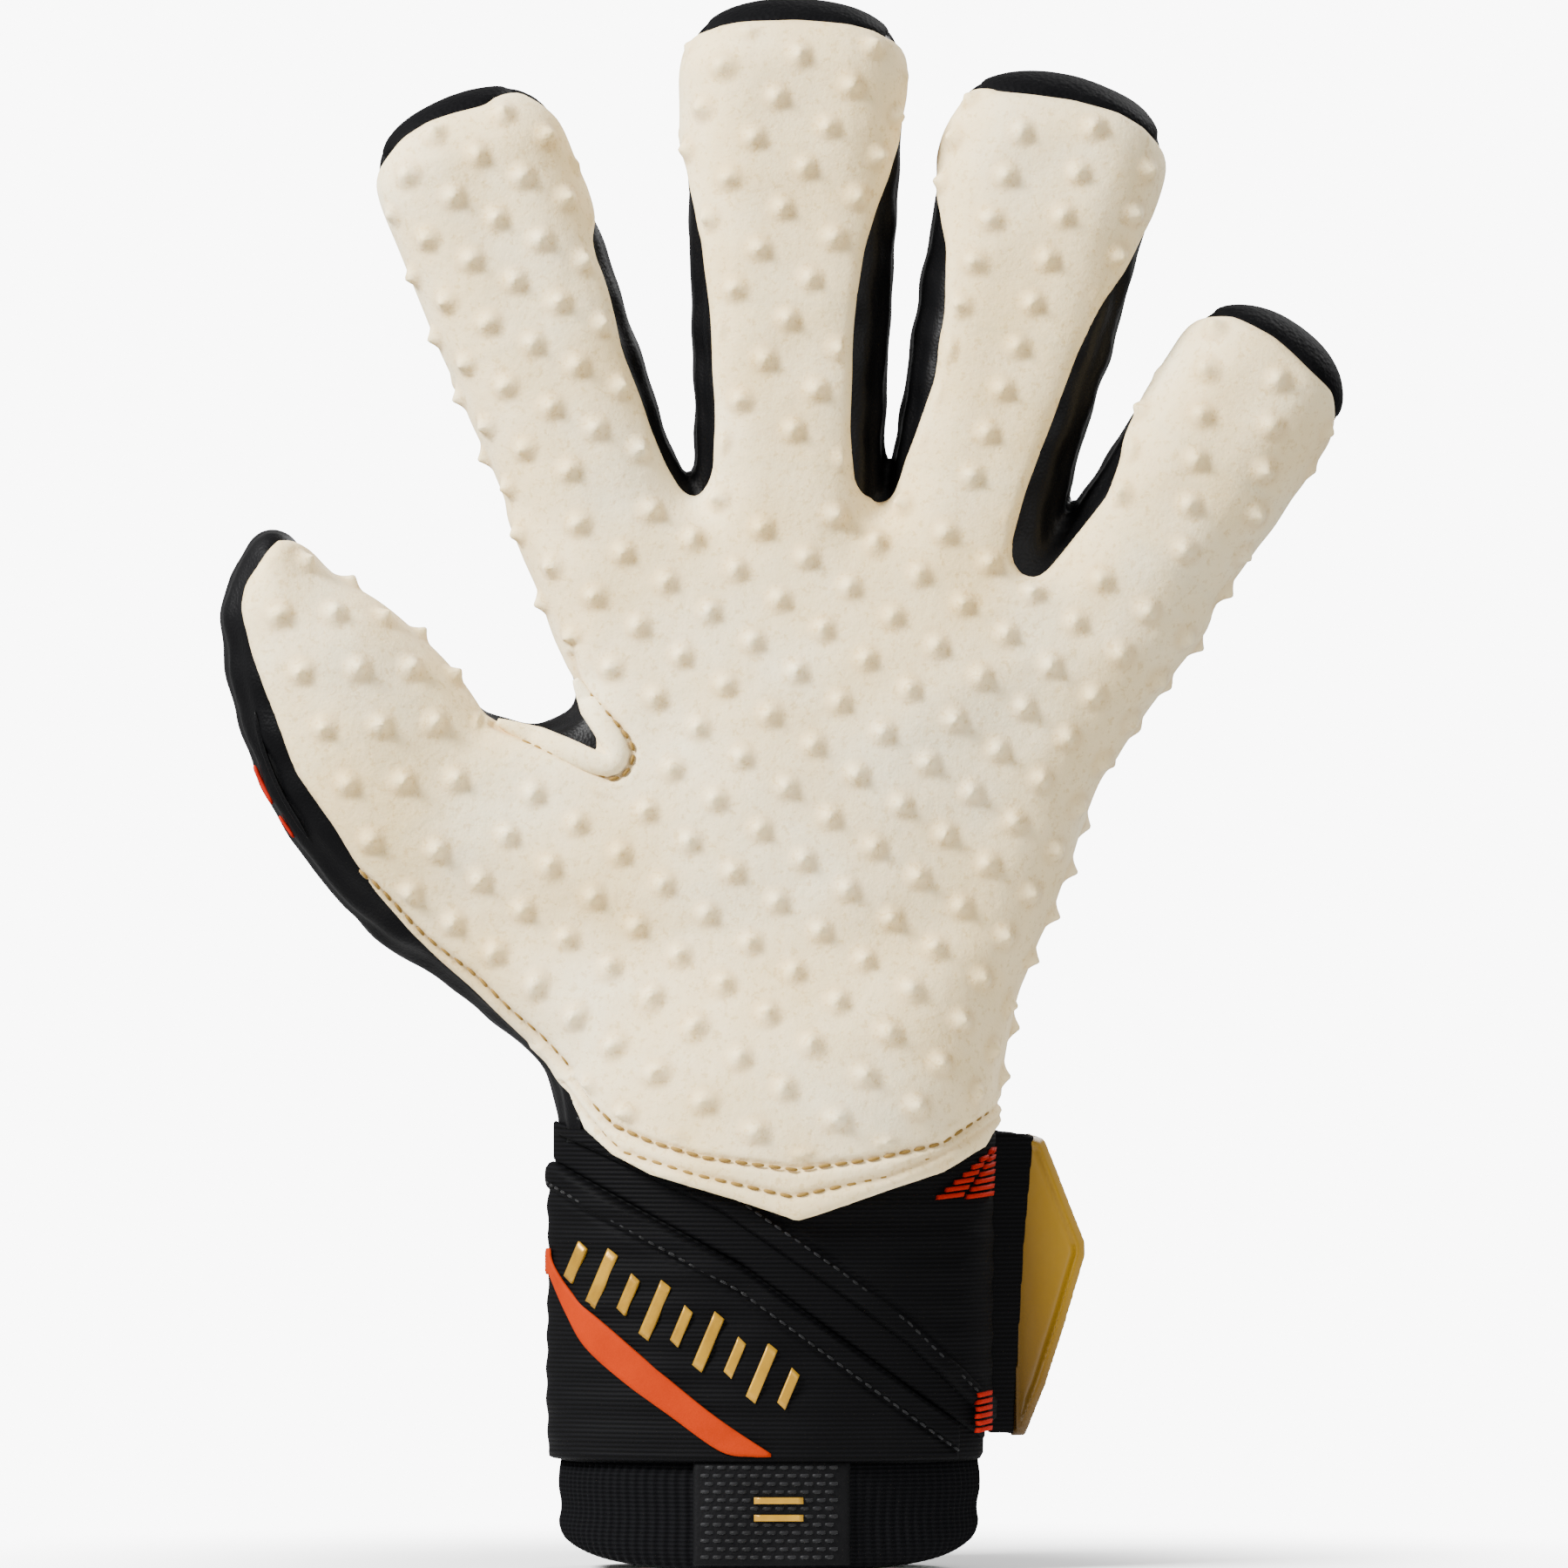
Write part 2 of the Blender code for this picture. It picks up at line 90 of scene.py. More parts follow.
def plug(mat, source, output, socket):
    mat.node_tree.links.new(source.outputs[output], socket)


def ramp(mat, source, output, stops):
    """A colour ramp over a node's output. stops are (place, hex colour)."""
    n = node(mat, "ShaderNodeValToRGB")
    plug(mat, source, output, n.inputs["Fac"])
    while len(n.color_ramp.elements) < len(stops):
        n.color_ramp.elements.new(0.5)
    for element, (place, code) in zip(n.color_ramp.elements, stops):
        element.position = place
        element.color = rgb(code)
    return n


def noise(mat, where, period_mm, detail=3.0, rough=0.55):
    return node(mat, "ShaderNodeTexNoise", Vector=(where, "Object"), Scale=1000.0 / period_mm, Detail=detail,
                Roughness=rough)


def bump(mat, shader, source, output, depth_mm, below=None):
    """Relief of a real depth. below is an earlier bump that this one is added to."""
    n = node(mat, "ShaderNodeBump", Strength=1.0, Distance=depth_mm * MM)
    plug(mat, source, output, n.inputs["Height"])
    if below:
        plug(mat, below, "Normal", n.inputs["Normal"])
    plug(mat, n, "Normal", shader.inputs["Normal"])
    return n


MIXED = 2  # the colour output of a mix node


def multiply(mat, factor, a, b):
    """Multiplies two colours, each a hex code or a (node, output) pair. The factor is a number or a pair."""
    n = node(mat, "ShaderNodeMix", {"data_type": "RGBA", "blend_type": "MULTIPLY"})
    for socket, value in ((n.inputs[0], factor), (n.inputs[6], a), (n.inputs[7], b)):
        if isinstance(value, tuple):
            plug(mat, *value, socket)
        else:
            socket.default_value = rgb(value) if isinstance(value, str) else value
    return n


def latex_material():
    """Cream latex foam: soft, porous, slightly uneven in tone, so it reads as grippy foam and not plastic."""
    mat, shader = material("latex_foam", 0.82, Subsurface_Weight=0.12, Subsurface_Scale=0.004,
                           Sheen_Weight=0.12, Sheen_Roughness=0.6, Specular_IOR_Level=0.28)
    shader.inputs["Subsurface Radius"].default_value = (1.0, 0.75, 0.5)
    at = node(mat, "ShaderNodeTexCoord")
    tone = ramp(mat, noise(mat, at, 26.0, 4.0), "Fac", [(0.32, "E8CE96"), (0.5, "F0DAA8"), (0.7, "F5E6BE")])
    pits = noise(mat, at, 1.3, 4.0, 0.7)
    grain = ramp(mat, pits, "Fac", [(0.36, "DCCFB4"), (0.46, "FFFFFF"), (1.0, "FFFFFF")])
    speck = node(mat, "ShaderNodeTexVoronoi", Vector=(at, "Object"), Scale=1000.0 / 2.6)
    dots = ramp(mat, speck, "Distance", [(0.0, "A69A80"), (0.09, "FFFFFF"), (1.0, "FFFFFF")])
    porous = multiply(mat, 0.55, (tone, "Color"), (grain, "Color"))
    flecked = multiply(mat, 0.5, (porous, MIXED), (dots, "Color"))
    # Painted shade: a per-point value darkens the foam towards C9AE7C round the cones' feet, along the seams and
    # grooves and on the folded cut edge.
    shade_paint = node(mat, "ShaderNodeAttribute", {"attribute_name": "soil"})
    share = node(mat, "ShaderNodeMath", {"operation": "MULTIPLY"}, i0=(shade_paint, "Fac"), i1=0.5)
    shaded_colour = multiply(mat, (share, "Value"), (flecked, MIXED), "C9AE7C")
    plug(mat, shaded_colour, MIXED, shader.inputs["Base Color"])
    pores = bump(mat, shader, noise(mat, at, 0.55, 3.0, 0.7), "Fac", 0.10)
    bump(mat, shader, noise(mat, at, 3.2, 2.0), "Fac", 0.22, pores)
    return mat


def cloth_material(name, dark, light, period_mm, rough, depth, sheen=0.2, specular=0.1):
    """Dark textile with a fine thread pattern and a soft uneven sheen."""
    mat, shader = material(name, rough, Sheen_Weight=sheen, Sheen_Roughness=0.45, Specular_IOR_Level=specular)
    at = node(mat, "ShaderNodeTexCoord")
    threads = node(mat, "ShaderNodeTexVoronoi", {"feature": "F1"}, Vector=(at, "Object"),
                   Scale=1000.0 / period_mm)
    tone = ramp(mat, noise(mat, at, 14.0, 5.0), "Fac", [(0.3, dark), (0.75, light)])
    plug(mat, tone, "Color", shader.inputs["Base Color"])
    weave = bump(mat, shader, threads, "Distance", depth)
    bump(mat, shader, noise(mat, at, 2.4, 3.0), "Fac", depth * 0.8, weave)
    return mat


def ribbed_material(name, dark, light, pitch_mm, rough, depth):
    """Elastic bandage: fine cords running round the wrist, each catching a little light."""
    mat, shader = material(name, rough, Specular_IOR_Level=0.05)
    at = node(mat, "ShaderNodeTexCoord")
    cords = node(mat, "ShaderNodeTexWave", {"bands_direction": "Z"}, Vector=(at, "Object"),
                 Scale=314.16 / pitch_mm, Distortion=0.35, Detail=2.0)
    cords.inputs["Detail Scale"].default_value = 0.6
    # Painted light and shade: each cord's crest is coloured lighter and the groove between cords darker,
    # following the same bands as the bump.
    tone = ramp(mat, cords, "Fac", [(0.1, dark), (0.95, light)])
    plug(mat, tone, "Color", shader.inputs["Base Color"])
    ribs = bump(mat, shader, cords, "Fac", depth)
    bump(mat, shader, noise(mat, at, 0.9, 3.0, 0.7), "Fac", depth * 0.6, ribs)
    return mat


def print_material(name, code, shade, rough, metal=0.0, specular=0.4):
    """Printed colour with faint wear."""
    mat, shader = material(name, rough, Metallic=metal, Specular_IOR_Level=specular)
    at = node(mat, "ShaderNodeTexCoord")
    tone = ramp(mat, noise(mat, at, 7.0, 5.0), "Fac", [(0.3, shade), (0.62, code)])
    plug(mat, tone, "Color", shader.inputs["Base Color"])
    bump(mat, shader, noise(mat, at, 0.8, 2.0), "Fac", 0.05)
    return mat


LATEX = latex_material()
# Knitted stretch fabric: near black, with a low gloss on its folds.
GUSSET = cloth_material("stretch_gusset", "030304", "09090A", 0.55, 0.45, 0.05, 0.0, 0.1)
# Foam faced with matt black textile.
BACK = cloth_material("backhand_textile", "030304", "0A0A0B", 0.9, 0.7, 0.12, 0.0, 0.05)
# Elastic and knit: fine black ribs that show only where the light grazes them.
ELASTIC = ribbed_material("elastic_bandage", "020202", "08080A", 0.85, 0.7, 0.08)
KNIT = ribbed_material("rib_knit", "030304", "09090B", 0.8, 0.85, 0.1)
# Loop pile: deep, rough and slightly lighter.
LOOP = cloth_material("loop_pile", "060607", "0E0E10", 0.45, 0.95, 0.2, 0.2)
PATCH = cloth_material("woven_patch", "040405", "0B0B0C", 0.7, 0.65, 0.08, 0.0, 0.06)
# Polyester thread, twisted: tan on the latex and black on the wrist.
THREAD = cloth_material("tan_thread", "6E5420", "9A7A3C", 0.4, 0.6, 0.05, 0.2)
DARK_THREAD = cloth_material("black_thread", "0C0C0D", "1A1A1C", 0.4, 0.5, 0.05, 0.1)
# Raised transfer print in gold, orange and red-orange.
GOLD = print_material("gold_print", "A87E1A", "8A6412", 0.38, 0.35)
ORANGE = print_material("orange_print", "962800", "8A2300", 0.75, specular=0.05)
RED = print_material("red_orange_print", "9C1402", "881000", 0.7, specular=0.1)


def tab_material():
    """Moulded rubber, gold towards its outer edge and darker brown towards the wrist."""
    mat, shader = material("gold_rubber", 0.42, Coat_Weight=0.1, Coat_Roughness=0.3, Specular_IOR_Level=0.2)
    at = node(mat, "ShaderNodeTexCoord")
    parts = node(mat, "ShaderNodeSeparateXYZ", i0=(at, "Object"))
    lean = node(mat, "ShaderNodeMath", {"operation": "MULTIPLY_ADD"}, i0=(parts, "Z"), i1=0.12,
                i2=(parts, "X"))
    share = node(mat, "ShaderNodeMapRange", i0=(lean, "Value"))
    share.inputs["From Min"].default_value = 0.046
    share.inputs["From Max"].default_value = 0.060
    tone = ramp(mat, share, "Result", [(0.0, "3A2600"), (0.45, "6A4C00"), (1.0, "987200")])
    plug(mat, tone, "Color", shader.inputs["Base Color"])
    bump(mat, shader, noise(mat, at, 5.0, 2.0), "Fac", 0.15)
    return mat


TAB = tab_material()

# ---------------------------------------------------------------- the hand's outline

# Each digit: middle of its base, lean from upright in degrees, length, half width at base, middle and tip.
DIGITS = {
    "index": ((-35.1, 201.6), -21.0, 75.2, (15.4, 17.0, 17.7)),
    "middle": ((0.7, 202.4), 1.0, 87.6, (17.0, 18.9, 20.4)),
    "ring": ((36.0, 200.0), 12.7, 77.6, (15.9, 18.7, 20.0)),
    "little": ((66.0, 186.9), 34.0, 51.6, (15.0, 16.2, 16.0)),
}
BEND = {"index": 0.54, "middle": 0.54, "ring": 0.54, "little": 0.56}  # middle crease, as a share of the length
TIP_ROUND = 15.0  # length of a fingertip's rounding
CAP_LENGTH = 13.0  # how far the backhand's cap comes down from a fingertip

# Where the digits bend, measured along each digit from its crotch. The thumb's are measured along its own lean.
START, SPAN = 1.6, 16.0  # where a finger's first bend begins, and how long it is
THUMB_LEAN = math.radians(-34.0)
START_THUMB, THUMB_MIDDLE = 151.5, 171.5  # where the thumb begins, and the line between its two bends

# The palm's edge, seen from the front.
THUMB_OUTER = [
    (-60.7, 106.4), (-66.7, 110.6), (-73.8, 114.8), (-82.0, 122.8), (-86.6, 128.6), (-93.8, 139.0),
    (-97.6, 147.0), (-100.2, 154.0), (-102.0, 160.5), (-103.5, 166.5), (-104.2, 172.5), (-104.0, 178.6),
    (-102.0, 184.6), (-98.4, 190.6), (-94.6, 192.9),
]
THUMB_INNER = [(-91.0, 191.4), (-87.6, 186.6), (-83.2, 182.6), (-76.2, 178.4), (-67.7, 171.6), (-60.4, 163.8),
               (-55.0, 158.4)]
CROTCH = [(-50.0, 157.0), (-46.0, 156.5), (-42.0, 157.6), (-39.4, 159.4), (-38.5, 163.2)]
INDEX_SIDE = [(-39.2, 169.4), (-42.0, 178.6), (-45.8, 187.0), (-49.4, 195.0)]
LITTLE_SIDE = [
    (38.4, 20.0), (38.4, 60.0), (38.6, 76.0), (39.4, 90.7), (40.2, 97.0), (42.2, 106.5), (45.2, 113.5),
    (48.8, 122.5), (52.4, 132.0), (55.9, 142.4), (60.4, 152.3), (66.2, 161.6), (72.3, 169.2), (77.6, 175.6),
]
THUMB_SIDE = [(-54.6, 101.6), (-47.6, 96.2), (-43.4, 90.0), (-42.0, 82.0), (-42.2, 70.0), (-42.2, 20.0)]

# The latex as seen from the palm. Where it rolls round to the side its outline lies outside the glove.
LATEX_OUTLINE = [
    (-41.0, 20.0), (-40.6, 88.0), (-43.0, 93.4), (-46.4, 96.6), (-50.6, 100.8), (-59.8, 109.2),
    (-69.1, 117.9), (-78.5, 129.0), (-82.8, 136.8), (-89.9, 147.0), (-94.4, 159.0), (-98.2, 169.2),
    (-100.1, 177.6), (-99.3, 182.3), (-95.4, 188.0), (-91.0, 192.6), (-86.0, 197.0), (-70.0, 184.0),
    (-61.0, 176.0), (-55.0, 165.0), (-54.2, 158.6), (-50.6, 156.4), (-45.9, 154.9), (-38.6, 151.6),
    (-34.2, 150.8), (-34.4, 153.6), (-37.6, 158.4), (-39.6, 163.4), (-46.0, 167.0), (-50.0, 178.0),
    (-57.0, 193.0), (-64.0, 205.0), (-70.0, 217.0), (-77.0, 235.0), (-84.0, 246.0), (-84.0, 256.0),
    (-80.0, 262.0), (-73.5, 262.2), (-71.0, 264.3), (-65.9, 267.5), (-60.2, 269.6), (-54.6, 270.9),
    (-50.0, 276.0), (-40.0, 270.0), (-33.0, 256.0), (-32.6, 249.0), (-35.4, 245.6), (-34.6, 242.4),
    (-33.3, 238.8), (-29.8, 225.4), (-24.9, 211.5), (-21.6, 203.6), (-19.0, 200.0), (-16.4, 198.8),
    (-14.2, 200.0), (-13.1, 203.6), (-12.7, 210.7), (-13.2, 224.5), (-13.8, 233.7), (-15.2, 245.4),
    (-16.9, 251.4), (-19.4, 257.4), (-26.0, 262.0), (-28.0, 277.0), (-25.0, 290.0), (-15.4, 290.0),
    (-13.2, 285.2), (-8.0, 286.0), (2.0, 286.4), (12.0, 285.6), (18.3, 284.0), (20.5, 288.0),
    (29.0, 288.0), (31.0, 272.0), (24.4, 265.6), (20.9, 261.0), (17.2, 251.8), (15.1, 244.9),
    (13.5, 236.0), (12.6, 224.5), (12.3, 210.6), (12.9, 201.3), (14.4, 198.6), (16.9, 197.8),
    (19.6, 199.2), (21.9, 202.8), (25.6, 213.5), (28.0, 221.0), (29.6, 233.0), (30.1, 243.9),
    (28.8, 250.0), (22.0, 261.0), (26.0, 276.0), (33.0, 280.0), (38.8, 273.2), (47.6, 272.4),
    (53.2, 271.7), (61.7, 269.2), (68.4, 265.4), (73.0, 268.0), (81.0, 262.0), (81.0, 250.0),
    (71.5, 248.6), (65.7, 243.4), (59.3, 235.0), (54.2, 224.9), (49.8, 212.8), (44.8, 199.9),
    (42.2, 190.6), (42.1, 186.6), (43.8, 183.8), (46.7, 183.2), (49.0, 185.0), (51.4, 187.9),
    (59.8, 198.6), (62.6, 206.6), (62.8, 211.6), (63.4, 216.0), (65.4, 222.4), (69.8, 230.4),
    (75.0, 239.0), (80.7, 232.4), (85.8, 230.3), (90.6, 227.8), (94.3, 224.6), (100.9, 218.1),
    (103.4, 213.0), (110.0, 208.0), (104.0, 196.0), (92.0, 180.0), (84.0, 168.0), (72.0, 152.0),
    (64.0, 135.0), (58.0, 118.0), (52.0, 100.0), (50.0, 60.0), (50.0, 20.0),
]
WRAP_DEPTH = 4.5  # how far behind the middle plane the latex goes where it rolls round

# How far behind the middle plane the back panels begin.
GUSSETED, ROLLED, TIP, EDGE_STRIP = 7.0, 4.5, 1.0, 5.0
SIDE_TAGS = {  # the thumb side and the little side of each finger
    "index": (ROLLED, GUSSETED), "middle": (GUSSETED, GUSSETED), "ring": (GUSSETED, GUSSETED),
    "little": (GUSSETED, ROLLED),
}


def smooth(t):
    """An eased step from 0 to 1."""
    t = np.clip(t, 0.0, 1.0)
    return t * t * (3 - 2 * t)


def axes_of(name):
    (x, z), lean, length, widths = DIGITS[name]
    s, c = math.sin(math.radians(lean)), math.cos(math.radians(lean))
    return x, z, s, c, length, widths


def digit_point(name, across, along):
    x, z, s, c, _, _ = axes_of(name)
    return x + across * c + along * s, z - across * s + along * c


def digit_coordinates(name, px, pz):
    """How far across and along a digit a point lies."""
    x, z, s, c, _, _ = axes_of(name)
    return (px - x) * c - (pz - z) * s, (px - x) * s + (pz - z) * c


def half_line(name):
    """The level at which a finger's base and tip pieces meet, between its two bends."""
    return (BEND[name] * DIGITS[name][2] + START + SPAN) / 2 - 1.0


def thumb_along(p):
    return p[:, 0] * math.sin(THUMB_LEAN) + p[:, 2] * math.cos(THUMB_LEAN)


def thumb_side(p):
    """Whether a point is on the thumb's side of the gap next to the forefinger."""
    return p[:, 0] < np.minimum(-41.0, -46.0 - (p[:, 2] - 162.0) * 0.763)


def half_width(name, along):
    _, _, _, _, length, (w0, w1, w2) = axes_of(name)
    t = min(max(along / (length - TIP_ROUND), 0.0), 1.0)
    w = w0 + (w1 - w0) * t * 2 if t < 0.5 else w1 + (w2 - w1) * (t * 2 - 1)
    over = (along - (length - TIP_ROUND)) / TIP_ROUND
    if over > 0:
        w *= (1 - min(over, 1.0) ** 2.4) ** (1 / 2.4)
    return w


def digit_outline(name):
    """The digit's outline, thumb side up and little side down, with a tag for every point."""
    _, _, _, _, length, _ = axes_of(name)
    levels = list(np.linspace(-34.0, length - TIP_ROUND, 24))
    levels += [length - TIP_ROUND + TIP_ROUND * math.sin(math.radians(a)) for a in range(10, 90, 8)]
    up = [(digit_point(name, -half_width(name, v), v), v, 0) for v in levels]
    down = [(digit_point(name, half_width(name, v), v), v, 1) for v in levels[::-1]]
    points, tags = [], []
    for p, v, side in up + [(digit_point(name, 0, length), length, 0)] + down:
        points.append(p)
        tip = smooth((v - (length - CAP_LENGTH)) / 6.0)
        tags.append(SIDE_TAGS[name][side] * (1 - tip) + TIP * tip)
    return points, tags


def curve_through(points, cuts=5):
    """Points on a smooth curve through the given ones."""
    p = np.array([points[0], *points, points[-1]], float)
    out = []
    for i in range(1, len(p) - 2):
        a, b, c, d = p[i - 1], p[i], p[i + 1], p[i + 2]
        for t in np.linspace(0, 1, cuts, endpoint=False):
            out.append(0.5 * (2 * b + (c - a) * t + (2 * a - 5 * b + 4 * c - d) * t * t
                              + (3 * b - a - 3 * c + d) * t ** 3))
    out.append(p[-1])
    return [tuple(q) for q in out]


def palm_outline():
    """The palm's outline, with a tag for every point."""
    points, tags = [], []

    def run(path, tag, cuts=4):
        path = curve_through(path, cuts)
        points.extend(path)
        tags.extend([tag] * len(path))

    run(LITTLE_SIDE, ROLLED)
    for name in ("little", "ring", "middle", "index"):
        for across in (8, -8):
            points.append(digit_point(name, across, -6.0))
            tags.append(GUSSETED)
    run(INDEX_SIDE[::-1], ROLLED)
    run(CROTCH[::-1], GUSSETED)
    run(THUMB_INNER[::-1], ROLLED)
    run(THUMB_OUTER[::-1], EDGE_STRIP)
    run(THUMB_SIDE, EDGE_STRIP)
    return points, tags


def signed_inside(points, px, pz):
    """Distance to a closed outline, positive inside."""
    pts = np.array(points, float)
    ends = np.roll(pts, -1, axis=0)
    best = np.full(px.shape, 1e9)
    inside = np.zeros(px.shape, bool)
    for (x0, z0), (x1, z1) in zip(pts, ends):
        dx, dz = x1 - x0, z1 - z0
        length = dx * dx + dz * dz
        if length < 1e-9:
            continue
        t = np.clip(((px - x0) * dx + (pz - z0) * dz) / length, 0, 1)
        best = np.minimum(best, (px - x0 - t * dx) ** 2 + (pz - z0 - t * dz) ** 2)
        crossing = (z0 > pz) != (z1 > pz)
        with np.errstate(divide="ignore", invalid="ignore"):
            at = x0 + (pz - z0) * dx / (dz if dz else 1e-9)
        inside ^= crossing & (px < at)
    return np.where(inside, 1, -1) * np.sqrt(best)


def join(a, b, soft):
    """The larger of two distances, with the corner between them filled softly."""
    h = np.clip(soft - np.abs(a - b), 0, None) / soft
    return np.maximum(a, b) + h * h * soft * 0.25


def blur(field, sigma):
    """A Gaussian blur in grid cells."""
    r = int(sigma * 3) + 1
    kernel = np.exp(-0.5 * (np.arange(-r, r + 1) / sigma) ** 2)
    kernel /= kernel.sum()
    for axis in (0, 1):
        pad = [(r, r) if k == axis else (0, 0) for k in (0, 1)]
        wide = np.pad(field, pad, mode="edge")
        field = sum(w * np.take(wide, range(i, i + field.shape[axis]), axis=axis) for i, w in enumerate(kernel))
    return field


GRID_X = np.arange(-110.0, 110.0, STEP)
GRID_Z = np.arange(58.5, 296.0, STEP)
PX, PZ = np.meshgrid(GRID_X, GRID_Z, indexing="ij")

palm_points, palm_tags = palm_outline()
palm_inside = signed_inside(palm_points, PX, PZ)
digit_inside, edge_points, edge_tags = {}, list(palm_points), list(palm_tags)
INSIDE = palm_inside
for digit in DIGITS:
    outline, tags = digit_outline(digit)
    digit_inside[digit] = signed_inside(outline, PX, PZ)
    INSIDE = join(INSIDE, digit_inside[digit], 4.5)
    edge_points += outline
    edge_tags += tags

# Only the points that are on the joined outline say what the edge next to them is like.
edge_points = np.array(edge_points)
edge_tags = np.array(edge_tags)


def sample(field, px, pz):
    """Reads a grid at any points, bilinearly."""
    i = np.clip((px - GRID_X[0]) / STEP, 0, len(GRID_X) - 1.001)
    k = np.clip((pz - GRID_Z[0]) / STEP, 0, len(GRID_Z) - 1.001)
    i0, k0 = i.astype(int), k.astype(int)
    fx, fz = i - i0, k - k0
    return ((field[i0, k0] * (1 - fx) + field[i0 + 1, k0] * fx) * (1 - fz)
            + (field[i0, k0 + 1] * (1 - fx) + field[i0 + 1, k0 + 1] * fx) * fz)


on_edge = np.abs(sample(INSIDE, edge_points[:, 0], edge_points[:, 1])) < 2.6
edge_points, edge_tags = edge_points[on_edge], edge_tags[on_edge]
nearest = np.zeros(PX.shape, int)
closest = np.full(PX.shape, 1e9)
for n, (ex, ez) in enumerate(edge_points):
    d = (PX - ex) ** 2 + (PZ - ez) ** 2
    nearer = d < closest
    closest[nearer] = d[nearer]
    nearest[nearer] = n
BACK_AT = blur(edge_tags[nearest], 2.2)
LATEX_IN = blur(signed_inside(LATEX_OUTLINE, PX, PZ), 0.8)
INSIDE = blur(INSIDE, 0.9)

# The caps: past a digit's tip, but not its corners.
CAP_IN = np.full(PX.shape, -20.0)
for digit in DIGITS:
    _, _, _, _, length, (_, _, w) = axes_of(digit)
    u, v = digit_coordinates(digit, PX, PZ)
    CAP_IN = np.maximum(CAP_IN, np.minimum(v - (length - CAP_LENGTH), w * 1.25 - np.abs(u)))

palmness = smooth((palm_inside - 6.0) / 34.0)
wristness = smooth((120.0 - PZ) / 36.0)
thumbness = smooth((-46.0 - PX) / 40.0) * smooth((PZ - 100.0) / 40.0)
DEPTH = (12.9 + 3.6 * palmness) * (1 - wristness) + 25.6 * wristness
ROLL = (13.2 + 9.0 * palmness) * (1 - wristness) + 39.0 * wristness
FORWARD = -4.5 * thumbness ** 1.5 - 0.5 * wristness


def waves(px, py, pz, period, seed, count=7):
    """Smooth random ripples, from -1 to 1."""
    rng = np.random.default_rng(seed)
    total = 0.0
    for _ in range(count):
        k = rng.normal(size=3)
        k *= 2 * math.pi / period / np.linalg.norm(k) * rng.uniform(0.6, 1.4)
        total = total + np.sin(px * k[0] + py * k[1] + pz * k[2] + rng.uniform(0, 6.28))
    return total / count * 1.6


# ---------------------------------------------------------------- the hand's surface


def surface_net(field, origin, step):
    """A quad mesh of the surface where the field is 0, with the inside negative."""
    shape = np.array(field.shape)
    cells = shape - 1
    sums = np.zeros((cells.prod(), 3))
    counts = np.zeros(cells.prod())
    found = []
    for axis in range(3):
        low = [slice(None)] * 3
        high = [slice(None)] * 3
        low[axis], high[axis] = slice(0, -1), slice(1, None)
        a, b = field[tuple(low)], field[tuple(high)]
        at = np.argwhere((a < 0) != (b < 0))
        fa, fb = a[tuple(at.T)], b[tuple(at.T)]
        place = at.astype(float)
        place[:, axis] += fa / (fa - fb)
        u, v = (axis + 1) % 3, (axis + 2) % 3
        around = []
        for du, dv in ((-1, -1), (0, -1), (0, 0), (-1, 0)):
            cell = at.copy()
            cell[:, u] += du
            cell[:, v] += dv
            ok = np.all((cell >= 0) & (cell < cells), axis=1)
            index = np.where(ok, (cell[:, 0] * cells[1] + cell[:, 1]) * cells[2] + cell[:, 2], -1)
            around.append(index)
            for k in range(3):
                sums[:, k] += np.bincount(index[ok], place[ok, k], len(sums))
            counts += np.bincount(index[ok], minlength=len(counts))
        quads = np.stack(around, 1)
        good = (quads >= 0).all(axis=1)
        quads = quads[good]
        flip = fa[good] > 0
        quads[flip] = quads[flip][:, ::-1]
        found.append(quads)
    quads = np.concatenate(found)
    used, quads = np.unique(quads, return_inverse=True)
    quads = quads.reshape(-1, 4)
    points = sums[used] / counts[used][:, None] * step + origin
    return points, quads


def relax(points, faces, rounds, weight=0.5):
    """Evens a mesh out by moving each vertex towards its neighbours, then part of the way back."""
    a = faces.ravel()
    b = np.roll(faces, -1, axis=1).ravel()
    n = len(points)
    degree = np.bincount(a, minlength=n) + np.bincount(b, minlength=n)
    for w in [weight, -weight * 0.95] * rounds:
        total = [np.bincount(a, points[b, k], n) + np.bincount(b, points[a, k], n) for k in range(3)]
        points = points + w * (np.stack(total, 1) / degree[:, None] - points)
    return points


def vertex_normals(points, faces):
    """Each vertex's normal, weighted by the size of its faces."""
    p = points[faces]
    normal = np.cross(p[:, 1] - p[:, 0], p[:, 2] - p[:, 0])
    out = np.zeros_like(points)
    for k in range(3):
        for j in range(3):
            out[:, j] += np.bincount(faces[:, k], normal[:, j], len(points))
    return out / np.maximum(np.linalg.norm(out, axis=1), 1e-12)[:, None]


ROUNDNESS = 2.15  # 2 gives an ellipse, more a fuller section


def hand_surface():
    """The padded hand as one closed skin, open at the wrist."""
    ys = np.arange(-30.0, 30.5, STEP)
    fall = np.clip(1 - INSIDE / ROLL, 0, None)[:, None, :]
    puff = 1 + 0.025 * waves(PX, 0, PZ, 34.0, 5)
    rise = np.abs(ys[None, :, None] - FORWARD[:, None, :]) / (DEPTH * puff)[:, None, :]
    field = ((rise ** ROUNDNESS + fall ** ROUNDNESS) ** (1 / ROUNDNESS) - 1) * 13.0
    points, quads = surface_net(field.astype(np.float64), np.array([GRID_X[0], ys[0], GRID_Z[0]]), STEP)
    points = relax(points, quads, 4)
    faces = np.concatenate([quads[:, [0, 1, 2]], quads[:, [0, 2, 3]]])
    return points, faces


